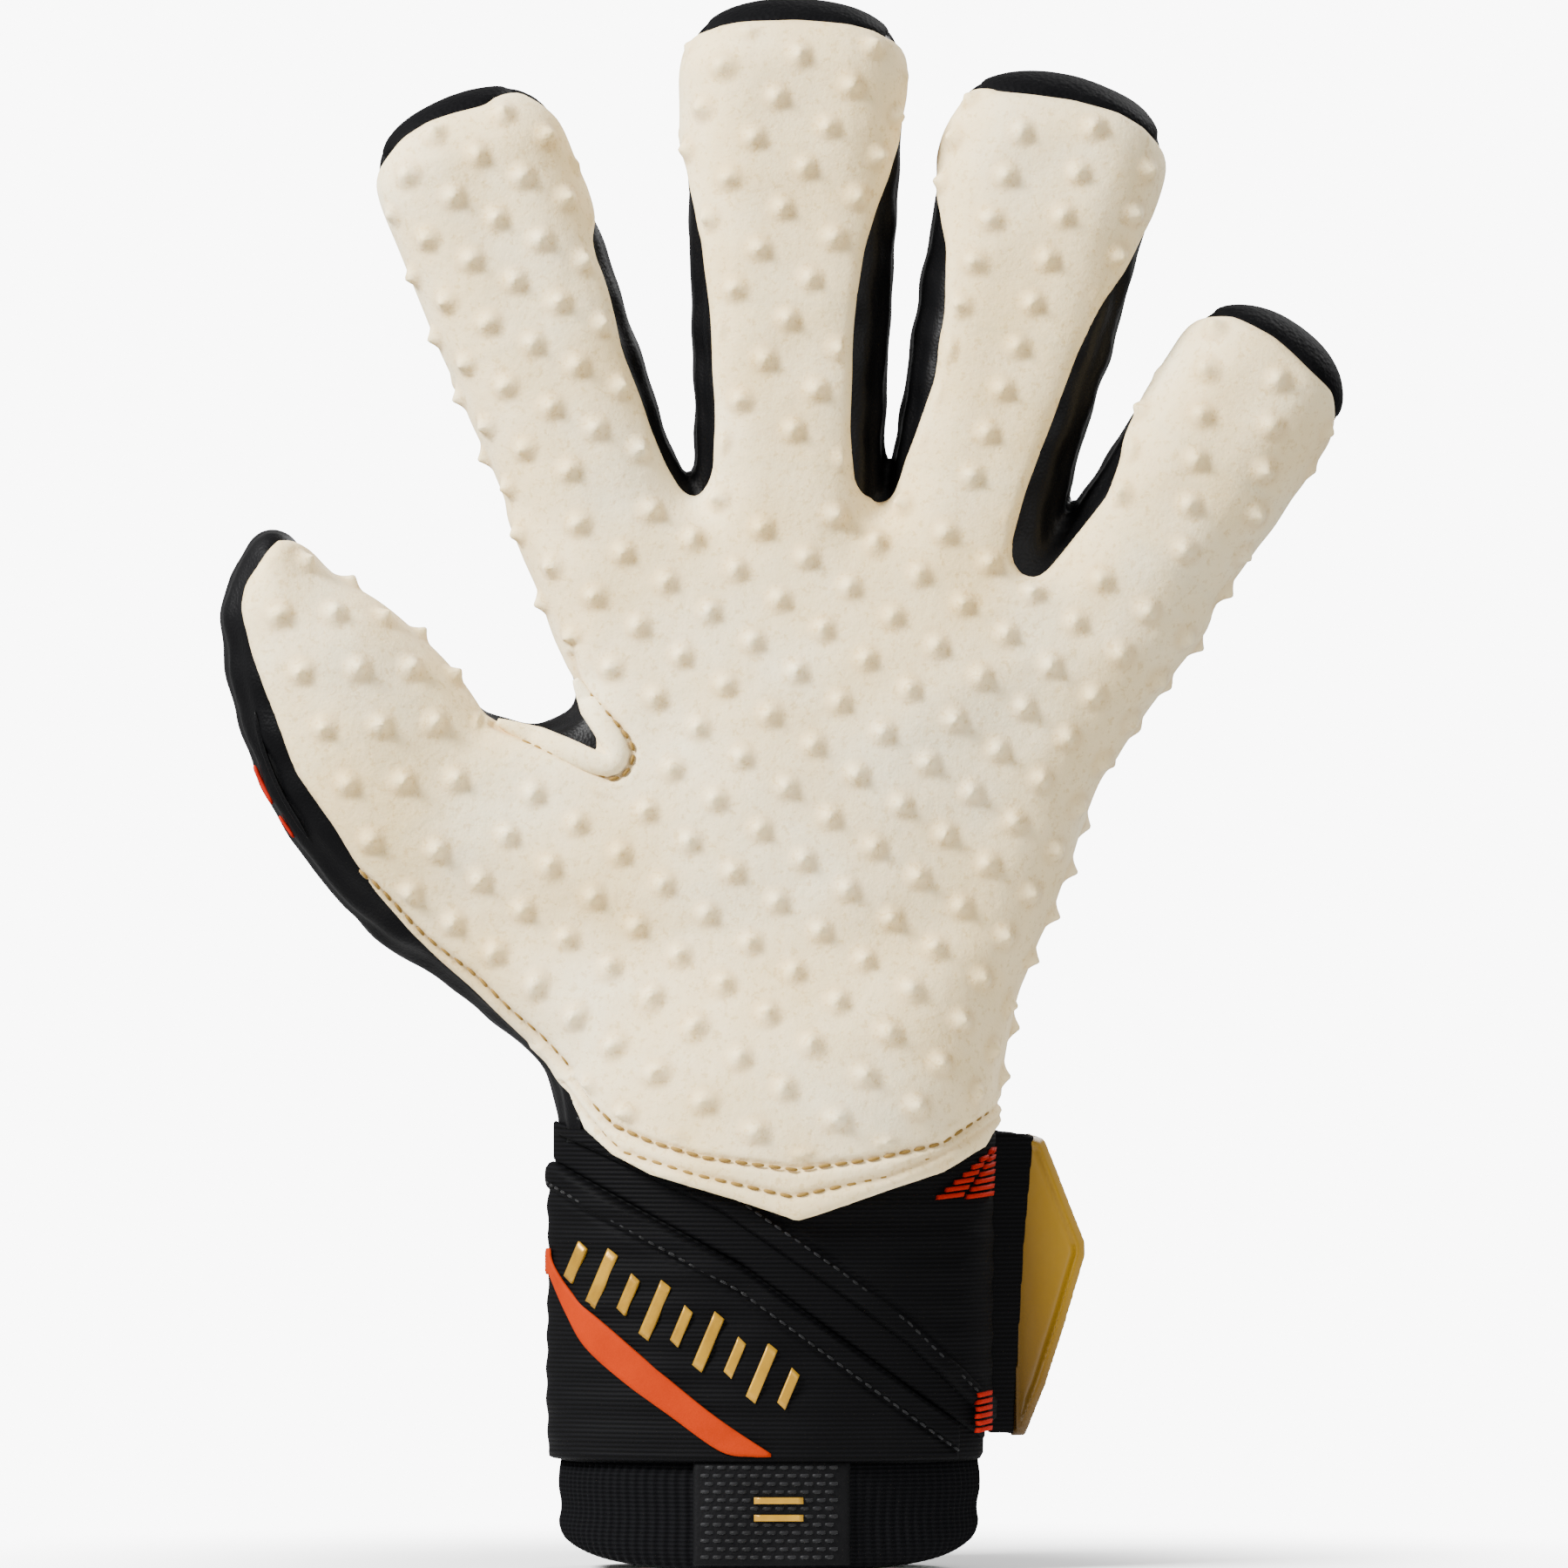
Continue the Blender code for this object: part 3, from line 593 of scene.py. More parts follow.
def split(points, faces, value, tidy=0.12):
    """Cuts the triangles along the line where the value is 0, so that none crosses it."""
    value = np.where(np.abs(value) < tidy, 0.0, value)
    sign = np.sign(value)[faces]
    crossed = (sign.max(axis=1) > 0) & (sign.min(axis=1) < 0)
    keep, work, sign = faces[~crossed], faces[crossed], sign[crossed]
    if not len(work):
        return points, faces
    zero = (sign == 0).any(axis=1)
    lone = np.where(zero, (sign == 0).argmax(axis=1),
                    np.where(sign.sum(axis=1) > 0, sign.argmin(axis=1), sign.argmax(axis=1)))
    order = (lone[:, None] + np.arange(3)) % 3
    tri = np.take_along_axis(work, order, axis=1)
    pairs = np.concatenate([tri[zero][:, [1, 2]], tri[~zero][:, [0, 1]], tri[~zero][:, [0, 2]]])
    pairs = np.sort(pairs, axis=1)
    unique, back = np.unique(pairs, axis=0, return_inverse=True)
    back = back.ravel() + len(points)
    va, vb = value[unique[:, 0]], value[unique[:, 1]]
    t = (va / (va - vb))[:, None]
    points = np.concatenate([points, points[unique[:, 0]] * (1 - t) + points[unique[:, 1]] * t])
    nz, no = int(zero.sum()), int((~zero).sum())
    m, ab, ac = back[:nz], back[nz:nz + no], back[nz + no:]
    z, q = tri[zero], tri[~zero]
    made = [
        np.stack([z[:, 0], z[:, 1], m], 1), np.stack([z[:, 0], m, z[:, 2]], 1),
        np.stack([q[:, 0], ab, ac], 1), np.stack([ab, q[:, 1], q[:, 2]], 1), np.stack([ab, q[:, 2], ac], 1),
    ]
    return points, np.concatenate([keep, *made])


def compact(points, faces, *extras):
    """Leaves out the points that no face uses, and thins per-point data to match."""
    used, faces = np.unique(faces, return_inverse=True)
    return (points[used], faces.reshape(-1, 3), *[e[used] for e in extras])


def refine(points, faces):
    """Cuts each triangle into four."""
    edges = np.sort(np.concatenate([faces[:, [0, 1]], faces[:, [1, 2]], faces[:, [2, 0]]]), axis=1)
    unique, back = np.unique(edges, axis=0, return_inverse=True)
    back = back.ravel() + len(points)
    n = len(faces)
    ab, bc, ca = back[:n], back[n:2 * n], back[2 * n:]
    points = np.concatenate([points, points[unique].mean(axis=1)])
    a, b, c = faces.T
    quarters = ((a, ab, ca), (ab, b, bc), (ca, bc, c), (ab, bc, ca))
    return points, np.concatenate([np.stack(quarter, 1) for quarter in quarters])


def make_object(name, points, faces, mat, normals=None):
    """A smooth mesh object from points in millimetres."""
    mesh = bpy.data.meshes.new(name)
    moved = (np.asarray(points, float) + (0.0, SHIFT_Y, 0.0)) * MM
    mesh.from_pydata(moved.tolist(), [], [tuple(f) for f in np.asarray(faces).tolist()])
    mesh.materials.append(mat)
    mesh.shade_smooth()
    if normals is not None:
        mesh.normals_split_custom_set_from_vertices(normals.tolist())
    obj = bpy.data.objects.new(name, mesh)
    bpy.context.scene.collection.objects.link(obj)
    return obj


def rim_of(faces):
    """The open edges of a mesh, in the direction of their faces."""
    edges = np.concatenate([faces[:, [0, 1]], faces[:, [1, 2]], faces[:, [2, 0]]])
    key = np.sort(edges, axis=1)
    _, back, counts = np.unique(key, axis=0, return_inverse=True, return_counts=True)
    return edges[counts[back.ravel()] == 1]


def front_value(p):
    """Above 0 where the surface is latex, in millimetres from the latex edge."""
    behind = p[:, 1] - sample(FORWARD, p[:, 0], p[:, 2])
    inside = sample(LATEX_IN, p[:, 0], p[:, 2])
    slanted = (1.6 * inside - 7.5 - behind) * 0.6
    return np.minimum(np.minimum(inside, WRAP_DEPTH - behind), slanted)


def back_value(p):
    """Above 0 where the surface is backhand, in millimetres from its edge."""
    behind = p[:, 1] - sample(FORWARD, p[:, 0], p[:, 2])
    cap = np.minimum(1.2 - sample(LATEX_IN, p[:, 0], p[:, 2]), sample(CAP_IN, p[:, 0], p[:, 2]))
    return np.maximum(behind - sample(BACK_AT, p[:, 0], p[:, 2]), cap)


def hem_height(x):
    """The lower edge of the palm's hem: a shallow V."""
    return np.interp(x, [-44, -38.6, -37.2, -35.9, -31.1, -24.3, -9.7, -2, 2.3, 6, 20.1, 29, 36.2, 38.7, 44],
                     [93, 88, 84.6, 81.3, 77, 73.4, 69, 66.5, 64.9, 66, 70.9, 73.8, 78.2, 82.3, 88])


def lower_seam(x):
    """The hem's lower row of stitches."""
    return np.interp(x, [-44, -37.6, -35.1, -32.3, -29.1, -16.2, 1.5, 18.5, 29, 37.8, 44],
                     [96, 87.6, 83.7, 80.2, 77.4, 73.4, 69.4, 73, 77.4, 82.7, 90])


def upper_seam(x):
    """The hem's upper row of stitches."""
    return np.interp(x, [-44, -37.4, -34.7, -31.1, -24.3, -14.6, 1.9, 16.1, 29, 37.8, 44],
                     [98, 90, 85.9, 82.3, 79.4, 76.6, 74.4, 76.2, 79, 84.7, 92])


# ---------------------------------------------------------------- relief on the latex

CONE_HEIGHT, CONE_RADIUS = 2.2, 3.15
# Where the grip cones stand: the two steps of each lattice, and one cone's place.
PALM_LATTICE = ((12.9, 2.3), (-4.9, -7.8), (-15.6, 155.7))
LATTICES = {
    "index": ((12.6, 3.6), (-4.6, -7.6), (-46.4, 226.4)),
    "middle": ((13.6, 2.0), (-4.2, -7.5), (0.6, 231.0)),
    "ring": ((13.2, 0.6), (-2.8, -8.0), (43.0, 226.0)),
    "little": ((12.4, -1.8), (-1.2, -8.2), (76.0, 205.0)),
    "thumb": ((9.8, 0.3), (4.2, -10.3), (-79.0, 166.2)),
}


def unrolled(p):
    """Where each surface point would lie if the rolled sides were opened out flat."""
    x, z = p[:, 0], p[:, 2]
    near = 0.8
    gx = (sample(INSIDE, x - near, z) - sample(INSIDE, x + near, z)) / (2 * near)
    gz = (sample(INSIDE, x, z - near) - sample(INSIDE, x, z + near)) / (2 * near)
    size = np.maximum(np.hypot(gx, gz), 0.3)
    roll, depth = sample(ROLL, x, z), sample(DEPTH, x, z)
    out = np.clip(1 - sample(INSIDE, x, z) / roll, 0, 1.2) * roll
    down = -(p[:, 1] - sample(FORWARD, x, z))
    angle = np.arctan2(out / roll, down / depth)
    extra = np.where(out > 0.01, (roll + depth) / 2 * angle - out, 0.0)
    return x + gx / size * extra, z + gz / size * extra


def cone_places(name, x, z):
    """Whether a cone at x, z belongs to the named lattice."""
    flat = np.stack([x, x * 0, z], 1)
    if name == "thumb":
        return thumb_side(flat) & (thumb_along(flat) > START_THUMB + 1.5)
    if name in DIGITS:
        u, v = digit_coordinates(name, x, z)
        return (v > START) & (np.abs(u) < 24.0)
    mine = ~(thumb_side(flat) & (thumb_along(flat) > START_THUMB - 3.5))
    for digit in DIGITS:
        u, v = digit_coordinates(digit, x, z)
        mine &= ~((v > START - 5.0) & (np.abs(u) < 26.0))
    return mine


def cones(p, name):
    """Height of the grip cones at each point, and a ring of painted shade round each cone's foot."""
    qx, qz = unrolled(p)
    near = np.full(len(p), 1e9)
    for lattice in ("palm", *LATTICES) if name == "palm" else ("palm", name):
        a, b, start = LATTICES.get(lattice, PALM_LATTICE)
        det = a[0] * b[1] - a[1] * b[0]
        rx, rz = qx - start[0], qz - start[1]
        i = np.floor((rx * b[1] - rz * b[0]) / det)
        j = np.floor((a[0] * rz - a[1] * rx) / det)
        for di in (0, 1):
            for dj in (0, 1):
                cx = (i + di) * a[0] + (j + dj) * b[0]
                cz = (i + di) * a[1] + (j + dj) * b[1]
                d = np.hypot(rx - cx, rz - cz)
                d = np.where(cone_places(lattice, cx + start[0], cz + start[1]), d, 1e9)
                near = np.minimum(near, d)
    t = np.clip(1 - near / CONE_RADIUS, 0, 1)
    top = 0.82
    height = np.where(t > top, top ** 1.75 + (1 - ((1 - t) / (1 - top)) ** 2) * 0.15, t ** 1.75)
    # The second value is painted shade: a ring round each cone's foot, where the cone's own shade would fall.
    return CONE_HEIGHT * height, np.exp(-((near - 2.3) / 0.9) ** 2)


THUMB_SEAM = [(-102.2, 178.0), (-99.6, 168.4), (-95.4, 158.6), (-91.2, 147.4), (-84.0, 137.4), (-79.4, 130.4),
              (-74.2, 125.6), (-66.4, 117.4), (-57.5, 110.4), (-50.6, 103.8), (-44.4, 98.6), (-38.9, 92.6)]
CROTCH_OUT = [(-54.0, 155.6), (-51.3, 154.4), (-42.6, 150.8), (-34.4, 147.2), (-31.5, 146.2), (-28.8, 147.8),
              (-27.8, 151.4), (-29.6, 154.8), (-32.6, 158.2), (-36.9, 163.4), (-38.4, 169.0)]


def distance_to_path(px, pz, path):
    """Distance from each point to a broken line."""
    best = np.full(len(px), 1e9)
    for (x0, z0), (x1, z1) in zip(path, path[1:]):
        dx, dz = x1 - x0, z1 - z0
        t = np.clip(((px - x0) * dx + (pz - z0) * dz) / (dx * dx + dz * dz), 0, 1)
        best = np.minimum(best, np.hypot(px - x0 - t * dx, pz - z0 - t * dz))
    return best


def right_of_path(px, pz, path):
    """Above 0 on the palm's side of the thumb seam."""
    z = np.array([q[1] for q in path][::-1])
    x = np.array([q[0] for q in path][::-1])
    return px - np.interp(pz, z, x)


seam_path = curve_through(THUMB_SEAM, 6)
crotch_path = curve_through(CROTCH_OUT, 6)
HEM_TOP = 91.0  # the hem's two seams are pressed in only below this


def latex_height(p, name):
    """How far the latex stands over the surface below it, and how much painted shade it gets round its cones and
    in its seams and edge groove.
    """
    x, z = p[:, 0], p[:, 2]
    edge = front_value(p)
    lift = 1.5 * np.sqrt(1 - (1 - np.clip((edge + 0.05) / 2.4, 0, 1)) ** 2) - 0.35
    room = smooth((edge - 1.4) / 1.6)
    seam = distance_to_path(x, z, seam_path)
    strip = right_of_path(x, z, seam_path)
    if name in ("palm", "thumb"):
        room = room * smooth((strip - 2.0) / 1.2) * smooth((seam - 1.6) / 1.0)
        welt = distance_to_path(x, z, crotch_path)
        room = room * smooth((welt - 2.4) / 1.2) * smooth((z - upper_seam(x) - 1.6) / 1.2)
        lift = lift - 0.85 * np.exp(-(seam / 0.8) ** 2) - 0.8 * np.exp(-(welt / 0.7) ** 2)
        hem = z - hem_height(x)
        for row in (lower_seam(x), upper_seam(x)):
            lift = lift - 0.65 * np.exp(-((z - row) / 0.75) ** 2) * (z < HEM_TOP)
        lift = lift + 0.5 * smooth((upper_seam(x) - z) / 1.2)
        lift = lift - 0.8 * (1 - np.sqrt(1 - (1 - np.clip(hem / 1.6, 0, 1)) ** 2))
    lift = lift + 0.18 * waves(x, p[:, 1], z, 11.0, 21)
    height, soil = cones(p, name)
    # Painted shade along the latex edge, the thumb seam, the welt and the hem's rows of stitches, where the
    # surface dips.
    painted_crease_shade = np.exp(-((edge - 0.2) / 0.9) ** 2) * 0.5
    if name in ("palm", "thumb"):
        painted_crease_shade = np.maximum(painted_crease_shade, np.exp(-(seam / 0.9) ** 2) * 0.8)
        painted_crease_shade = np.maximum(painted_crease_shade, np.exp(-(welt / 0.9) ** 2) * 0.9)
        for row in (lower_seam(x), upper_seam(x)):
            painted_crease_shade = np.maximum(painted_crease_shade, np.exp(-((z - row) / 0.8) ** 2) * (z < HEM_TOP) * 0.7)
    corner = 1.0
    if name in DIGITS:
        side = smooth((3.0 - sample(INSIDE, x, z)) / 3.0)
        corner = 1 - 0.55 * side * smooth((digit_coordinates(name, x, z)[1] - DIGITS[name][2] + 30.0) / 12.0)
    return lift + height * room * corner, np.maximum(soil * room * corner * 0.5, painted_crease_shade)


def with_thickness(points, faces, normals, under):
    """Folds the open edge of a panel inwards to the given points, so that it shows its thickness."""
    rim = rim_of(faces)
    ids = np.unique(rim)
    a, b = rim.T
    under_a, under_b = np.searchsorted(ids, rim.T) + len(points)
    more = np.concatenate([np.stack([b, a, under_a], 1), np.stack([b, under_a, under_b], 1)])
    return (np.concatenate([points, under[ids]]), np.concatenate([faces, more]),
            np.concatenate([normals, normals[ids]]))


skin, skin_faces = hand_surface()


def owner_of(p):
    """Which digit each point belongs to, or the hand."""
    best = np.full(len(p), -1e9)
    owner = np.full(len(p), "hand", dtype=object)
    for name in DIGITS:
        _, v = digit_coordinates(name, p[:, 0], p[:, 2])
        s = sample(digit_inside[name], p[:, 0], p[:, 2])
        s = np.where(v > START, s, -1e9)
        mine = (s > best) & (s > -3.0)
        owner[mine] = name
        best[mine] = s[mine]
    thumb = (thumb_along(p) > START_THUMB) & thumb_side(p)
    owner[thumb] = "thumb"
    return owner


FAR = 9  # any value well away from a cut, so that the cut stops there
for digit in DIGITS:
    for level in (START, half_line(digit)):
        across, along = digit_coordinates(digit, skin[:, 0], skin[:, 2])
        along = along - level
        along = np.where((np.abs(across) < 27) & (np.abs(along) < 6), along, np.sign(along) * FAR)
        skin, skin_faces = split(skin, skin_faces, along)
for level in (START_THUMB, THUMB_MIDDLE):
    along = thumb_along(skin) - level
    along = np.where(thumb_side(skin), along, np.sign(along) * FAR)
    skin, skin_faces = split(skin, skin_faces, along)


def panel(values):
    """The part of the skin where every one of the given functions is above 0."""
    points, faces = skin, skin_faces
    for f in values:
        points, faces = split(points, faces, f(points))
        middle = points[faces].mean(axis=1)
        faces = faces[f(middle) > 0]
        points, faces = compact(points, faces)
    return points, faces


def labels_for(points, faces):
    """For each face, the digit it belongs to and whether it is on the digit's upper half."""
    middle = points[faces].mean(axis=1)
    owner = owner_of(middle)
    upper = np.zeros(len(faces), bool)
    for name in DIGITS:
        mine = owner == name
        upper[mine] = digit_coordinates(name, middle[mine][:, 0], middle[mine][:, 2])[1] > half_line(name)
    mine = owner == "thumb"
    upper[mine] = thumb_along(middle[mine]) > THUMB_MIDDLE
    return owner, upper


def bend_piece(obj, owner):
    """Lets a piece of the hand follow the hand's body; a digit's piece only has its placement baked into its
    mesh.
    """
    if owner == "hand":
        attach(obj, "hand")
        return
    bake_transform(obj)


EDGE_PAINTED_SHADE = 0.6  # how much painted shade the folded cut edge of the latex gets
FEWEST = 12  # a piece with fewer faces than this is a sliver at a cut, and is left out


def build_panels(kind, values, mat, height, nodes_for, fine=False, thick=2.6):
    """Cuts one layer out of the skin, gives it its relief, and divides it into a piece for the hand and one for
    each digit's base and tip.
    """
    points, faces = panel(values)
    if fine:
        points, faces = refine(points, faces)
    owner, upper = labels_for(points, faces)
    normals = vertex_normals(points, faces)
    lift = np.zeros((len(points), 2))
    weight = np.zeros(len(points))
    for name in sorted(set(owner)):
        ids = np.unique(faces[owner == name])
        raised = height(points[ids], "palm" if name == "hand" else name)
        lift[ids] += np.stack(raised, 1) if isinstance(raised, tuple) else np.stack([raised, raised * 0], 1)
        weight[ids] += 1
    lift /= np.maximum(weight, 1)[:, None]
    under = points - normals * thick
    points = points + normals * lift[:, :1]
    # The second column is painted shade for the latex: darker round its cones' feet and in its creases.
    soil = lift[:, 1]
    shading = vertex_normals(points, faces)
    for name in sorted(set(owner)):
        for up in (False, True):
            mine = (owner == name) & (upper == up)
            if mine.sum() < FEWEST:
                continue
            p, f, n, shade_paint, below = compact(points, faces[mine], shading, soil, under)
            folded, all_faces, all_normals = with_thickness(p, f, n, below)
            label = f"{kind}_{name}" + ("" if name == "hand" else "_tip" if up else "_base")
            obj = make_object(label, folded, all_faces, mat, all_normals)
            if mat is LATEX:
                layer = obj.data.attributes.new("soil", "FLOAT", "POINT")
                shade_paint = np.concatenate([shade_paint, np.full(len(folded) - len(p), EDGE_PAINTED_SHADE)])
                layer.data.foreach_set("value", shade_paint.astype(np.float32))
            bend_piece(obj, name)
            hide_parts(*nodes_for(name, up))


def part_of(name, up):
    return name + ("_tip" if up else "_base")


def latex_nodes(name, up):
    return ["palm_latex", "palm_hem"] if name == "hand" else [part_of(name, up) + "_latex"]


def back_nodes(name, up):
    return ["hand_back"] if name == "hand" else [part_of(name, up) + "_back"]


def gusset_nodes(name, up):
    if name == "hand":
        return ["little_side_wall", "index_side_wall", "thumb_side_wall", "thumb_crotch_gusset",
                "index_middle_crotch", "middle_ring_crotch", "ring_little_crotch"]
    if up:
        return [name + "_tip_gusset"]
    sides = ("inner", "outer") if name == "thumb" else ("thumb_side", "little_side")
    return [f"{name}_base_gusset_{side}" for side in sides]


PANEL_FOOT = 79.0  # the gussets and the backhand end here, inside the wrist wrap


def above_hem(p):
    return p[:, 2] - hem_height(p[:, 0])


def above_wrap(p):
    return p[:, 2] - PANEL_FOOT


def gusset_height(p, name):
    """Stretch fabric lies in soft folds that run along the finger."""
    x, y, z = p.T
    fold = np.sin(y * 1.15 + 1.3 * waves(x, y, z, 26.0, 3)) * 0.28
    return -0.25 + fold + 0.3 * waves(x, y, z, 9.0, 8)


def back_height(p, name):
    """The backhand: a foam panel with pressed channels."""
    x, y, z = p.T
    edge = back_value(p)
    lift = 1.1 * np.sqrt(1 - (1 - np.clip(edge / 2.2, 0, 1)) ** 2) - 0.3
    flat = smooth((edge - 3.0) / 2.0)
    if name == "palm":
        middle = smooth((36.0 - np.abs(x + 2.0)) / 3.0)
        for k in range(6):
            chevron = np.abs(z - (104.0 + 14.0 * k) + np.abs(x + 2.0) * 0.42)
            lift = lift - 1.9 * np.exp(-(chevron / 1.7) ** 2) * flat * middle
        lift = lift - 1.2 * np.exp(-((np.abs(x + 2.0) - 37.0) / 1.3) ** 2) * flat * smooth((170.0 - z) / 6.0)
    elif name == "thumb":
        for level in (160.0, 171.0, 182.0):
            lift = lift - 1.4 * np.exp(-((thumb_along(p) - level) / 1.5) ** 2) * flat
    else:
        u, v = digit_coordinates(name, x, z)
        length = DIGITS[name][2]
        for level in np.arange(8.0, length - 14.0, 12.5):
            channel = np.abs(v - level + np.abs(u) * 0.3)
            lift = lift - 1.5 * np.exp(-(channel / 1.6) ** 2) * flat
    return lift + 0.15 * waves(x, y, z, 12.0, 31)


build_panels("latex", [front_value, above_hem], LATEX, latex_height, latex_nodes, fine=True)
build_panels("gusset", [lambda p: 2.6 - front_value(p), lambda p: 2.0 - back_value(p), above_wrap], GUSSET,
             gusset_height, gusset_nodes, thick=1.0)
build_panels("backhand", [back_value, above_wrap], BACK, back_height, back_nodes)

# ---------------------------------------------------------------- stitches and strips on the surface


def front_y(x, z):
    """The front surface under a point of the outline's plane."""
    x, z = np.atleast_1d(x).astype(float), np.atleast_1d(z).astype(float)
    fall = np.clip(1 - sample(INSIDE, x, z) / sample(ROLL, x, z), 0, 0.999)
    return sample(FORWARD, x, z) - sample(DEPTH, x, z) * (1 - fall ** ROUNDNESS) ** (1 / ROUNDNESS)


def spaced(path, pitch):
    """Points along a 3-D path at equal steps, with the direction at each."""
    path = np.array(path, float)
    lengths = np.concatenate([[0], np.cumsum(np.linalg.norm(np.diff(path, axis=0), axis=1))])
    at = np.arange(pitch * 0.5, lengths[-1], pitch)
    points = np.stack([np.interp(at, lengths, path[:, k]) for k in range(3)], 1)
    ahead = np.stack([np.interp(at + 0.2, lengths, path[:, k]) for k in range(3)], 1)
    way = ahead - points
    size = np.linalg.norm(way, axis=1)
    good = size > 1e-4
    return points[good], way[good] / size[good][:, None]


def faces_as_triangles(faces):
    out = []
    for f in faces:
        out += [(f[0], f[i], f[i + 1]) for i in range(1, len(f) - 1)]
    return np.array(out)


def bar_faces(rings, sides, base=0):
    """The faces of a bar made of rings of points, closed at both ends. base is the number of its first point."""
    faces = []
    for r in range(rings - 1):
        for k in range(sides):
            i, j = base + r * sides + k, base + r * sides + (k + 1) % sides
            faces.append((i, j, j + sides, i + sides))
    last = base + (rings - 1) * sides
    faces.append(tuple(range(base, base + sides))[::-1])
    faces.append(tuple(range(last, last + sides)))
    return faces


# A stitch's rings: place along it as a share of its length, width and dip as shares of its radius.
STITCH_RINGS = [(-0.5, 0.15, -0.9), (-0.42, 0.75, -0.3), (-0.2, 1.0, 0.1), (0.2, 1.0, 0.1), (0.42, 0.75, -0.3),
                (0.5, 0.15, -0.9)]
STITCH_SIDES = 7
FRONT = (0, -1, 0)


def stitches(name, path, pitch, length, radius, mat, body, out=FRONT, slant=0.0):
    """A row of thread stitches, each a short rounded bar that dips at its ends. out is the surface's normal."""
    points, ways = spaced(path, pitch)
    vertices, faces = [], []
    for p, w in zip(points, ways):
        up = np.array(out(p) if callable(out) else out, float)
        side = np.cross(w, up)
        side /= np.linalg.norm(side)
        up = np.cross(side, w)
        w = w * math.cos(slant) + side * math.sin(slant)
        side = np.cross(w, up)
        faces += bar_faces(len(STITCH_RINGS), STITCH_SIDES, len(vertices))
        for along, wide, dip in STITCH_RINGS:
            middle = p + w * along * length
            for k in range(STITCH_SIDES):
                a = 2 * math.pi * k / STITCH_SIDES
                vertices.append(middle + (side * math.cos(a) + up * math.sin(a)) * radius * wide
                                + up * radius * dip)
    obj = make_object(name, np.array(vertices), faces_as_triangles(faces), mat)
    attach(obj, body)


def on_front(path, lift):
    path = np.array(path, float)
    y = front_y(path[:, 0], path[:, 1]) - lift
    return np.stack([path[:, 0], y, path[:, 1]], 1)


def strip_along(name, path, radii, mat, body, sides=14):
    """A soft strip with an oval section along a path on the palm side, thinner at both ends."""
    path = np.array(path, float)
    way = np.gradient(path, axis=0)
    way /= np.linalg.norm(way, axis=1)[:, None]
    up = np.array(FRONT, float)
    vertices = []
    for n, (p, w) in enumerate(zip(path, way)):
        side = np.cross(w, up)
        side /= np.linalg.norm(side)
        top = np.cross(side, w)
        t = n / (len(path) - 1)
        shrink = min(1.0, 0.25 + 6 * min(t, 1 - t))
        for k in range(sides):
            a = 2 * math.pi * k / sides
            vertices.append(p + (side * math.cos(a) * radii[0] + top * math.sin(a) * radii[1]) * shrink)
    obj = make_object(name, np.array(vertices), faces_as_triangles(bar_faces(len(path), sides)), mat)
    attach(obj, body)
    return obj


# The thread on the palm: along the thumb's seam, round the crotch, and the two rows of the hem.
palm_seam = [q for q in seam_path if thumb_along(np.array([[q[0], 0, q[1]]]))[0] < START_THUMB]
stitches("seam_stitches_thumb_edge", on_front(palm_seam, 0.75), 3.0, 2.3, 0.34, THREAD, "hand", slant=0.12)
crotch_stitch = [q for q in crotch_path if q[1] < 163.0 and q[0] > -50.0]
stitches("seam_stitches_thumb_crotch", on_front(crotch_stitch, 0.75), 2.6, 2.0, 0.34, THREAD, "hand")
for row, height in (("lower", lower_seam), ("upper", upper_seam)):
    path = [(x, float(height(x))) for x in np.linspace(-37.0, 37.4, 120)]
    stitches(f"hem_stitches_{row}", on_front(path, 0.95), 3.1, 2.4, 0.36, THREAD, "hand")

# Two short accents on the thumb's outer edge.
ACCENTS = (((-98.0, 148.7), (-96.4, 145.1), (-94.5, 141.5)), ((-93.3, 139.3), (-91.9, 137.3), (-90.5, 135.3)))
for k, path in enumerate(ACCENTS):
    accent = strip_along(f"thumb_accent_{k + 1}", on_front(curve_through(path, 6), -0.1), (0.45 - 0.1 * k, 0.5),
                         RED, "thumb_base")

# Piping along the middle of the thumb's black band.
band = curve_through(((-97.6, 158.6), (-96.0, 151.6), (-92.8, 143.6), (-87.8, 135.2)), 8)
piping = strip_along("thumb_piping", on_front(band, -0.05), (0.5, 0.45), GUSSET, "thumb_base")

# ---------------------------------------------------------------- wrist


def wrist_point(angle, oval, z):
    return WRIST_X + oval[0] * math.cos(angle), oval[1] * math.sin(angle), z


SKIN = 0.02  # the thinnest a sheet gets, at its edge


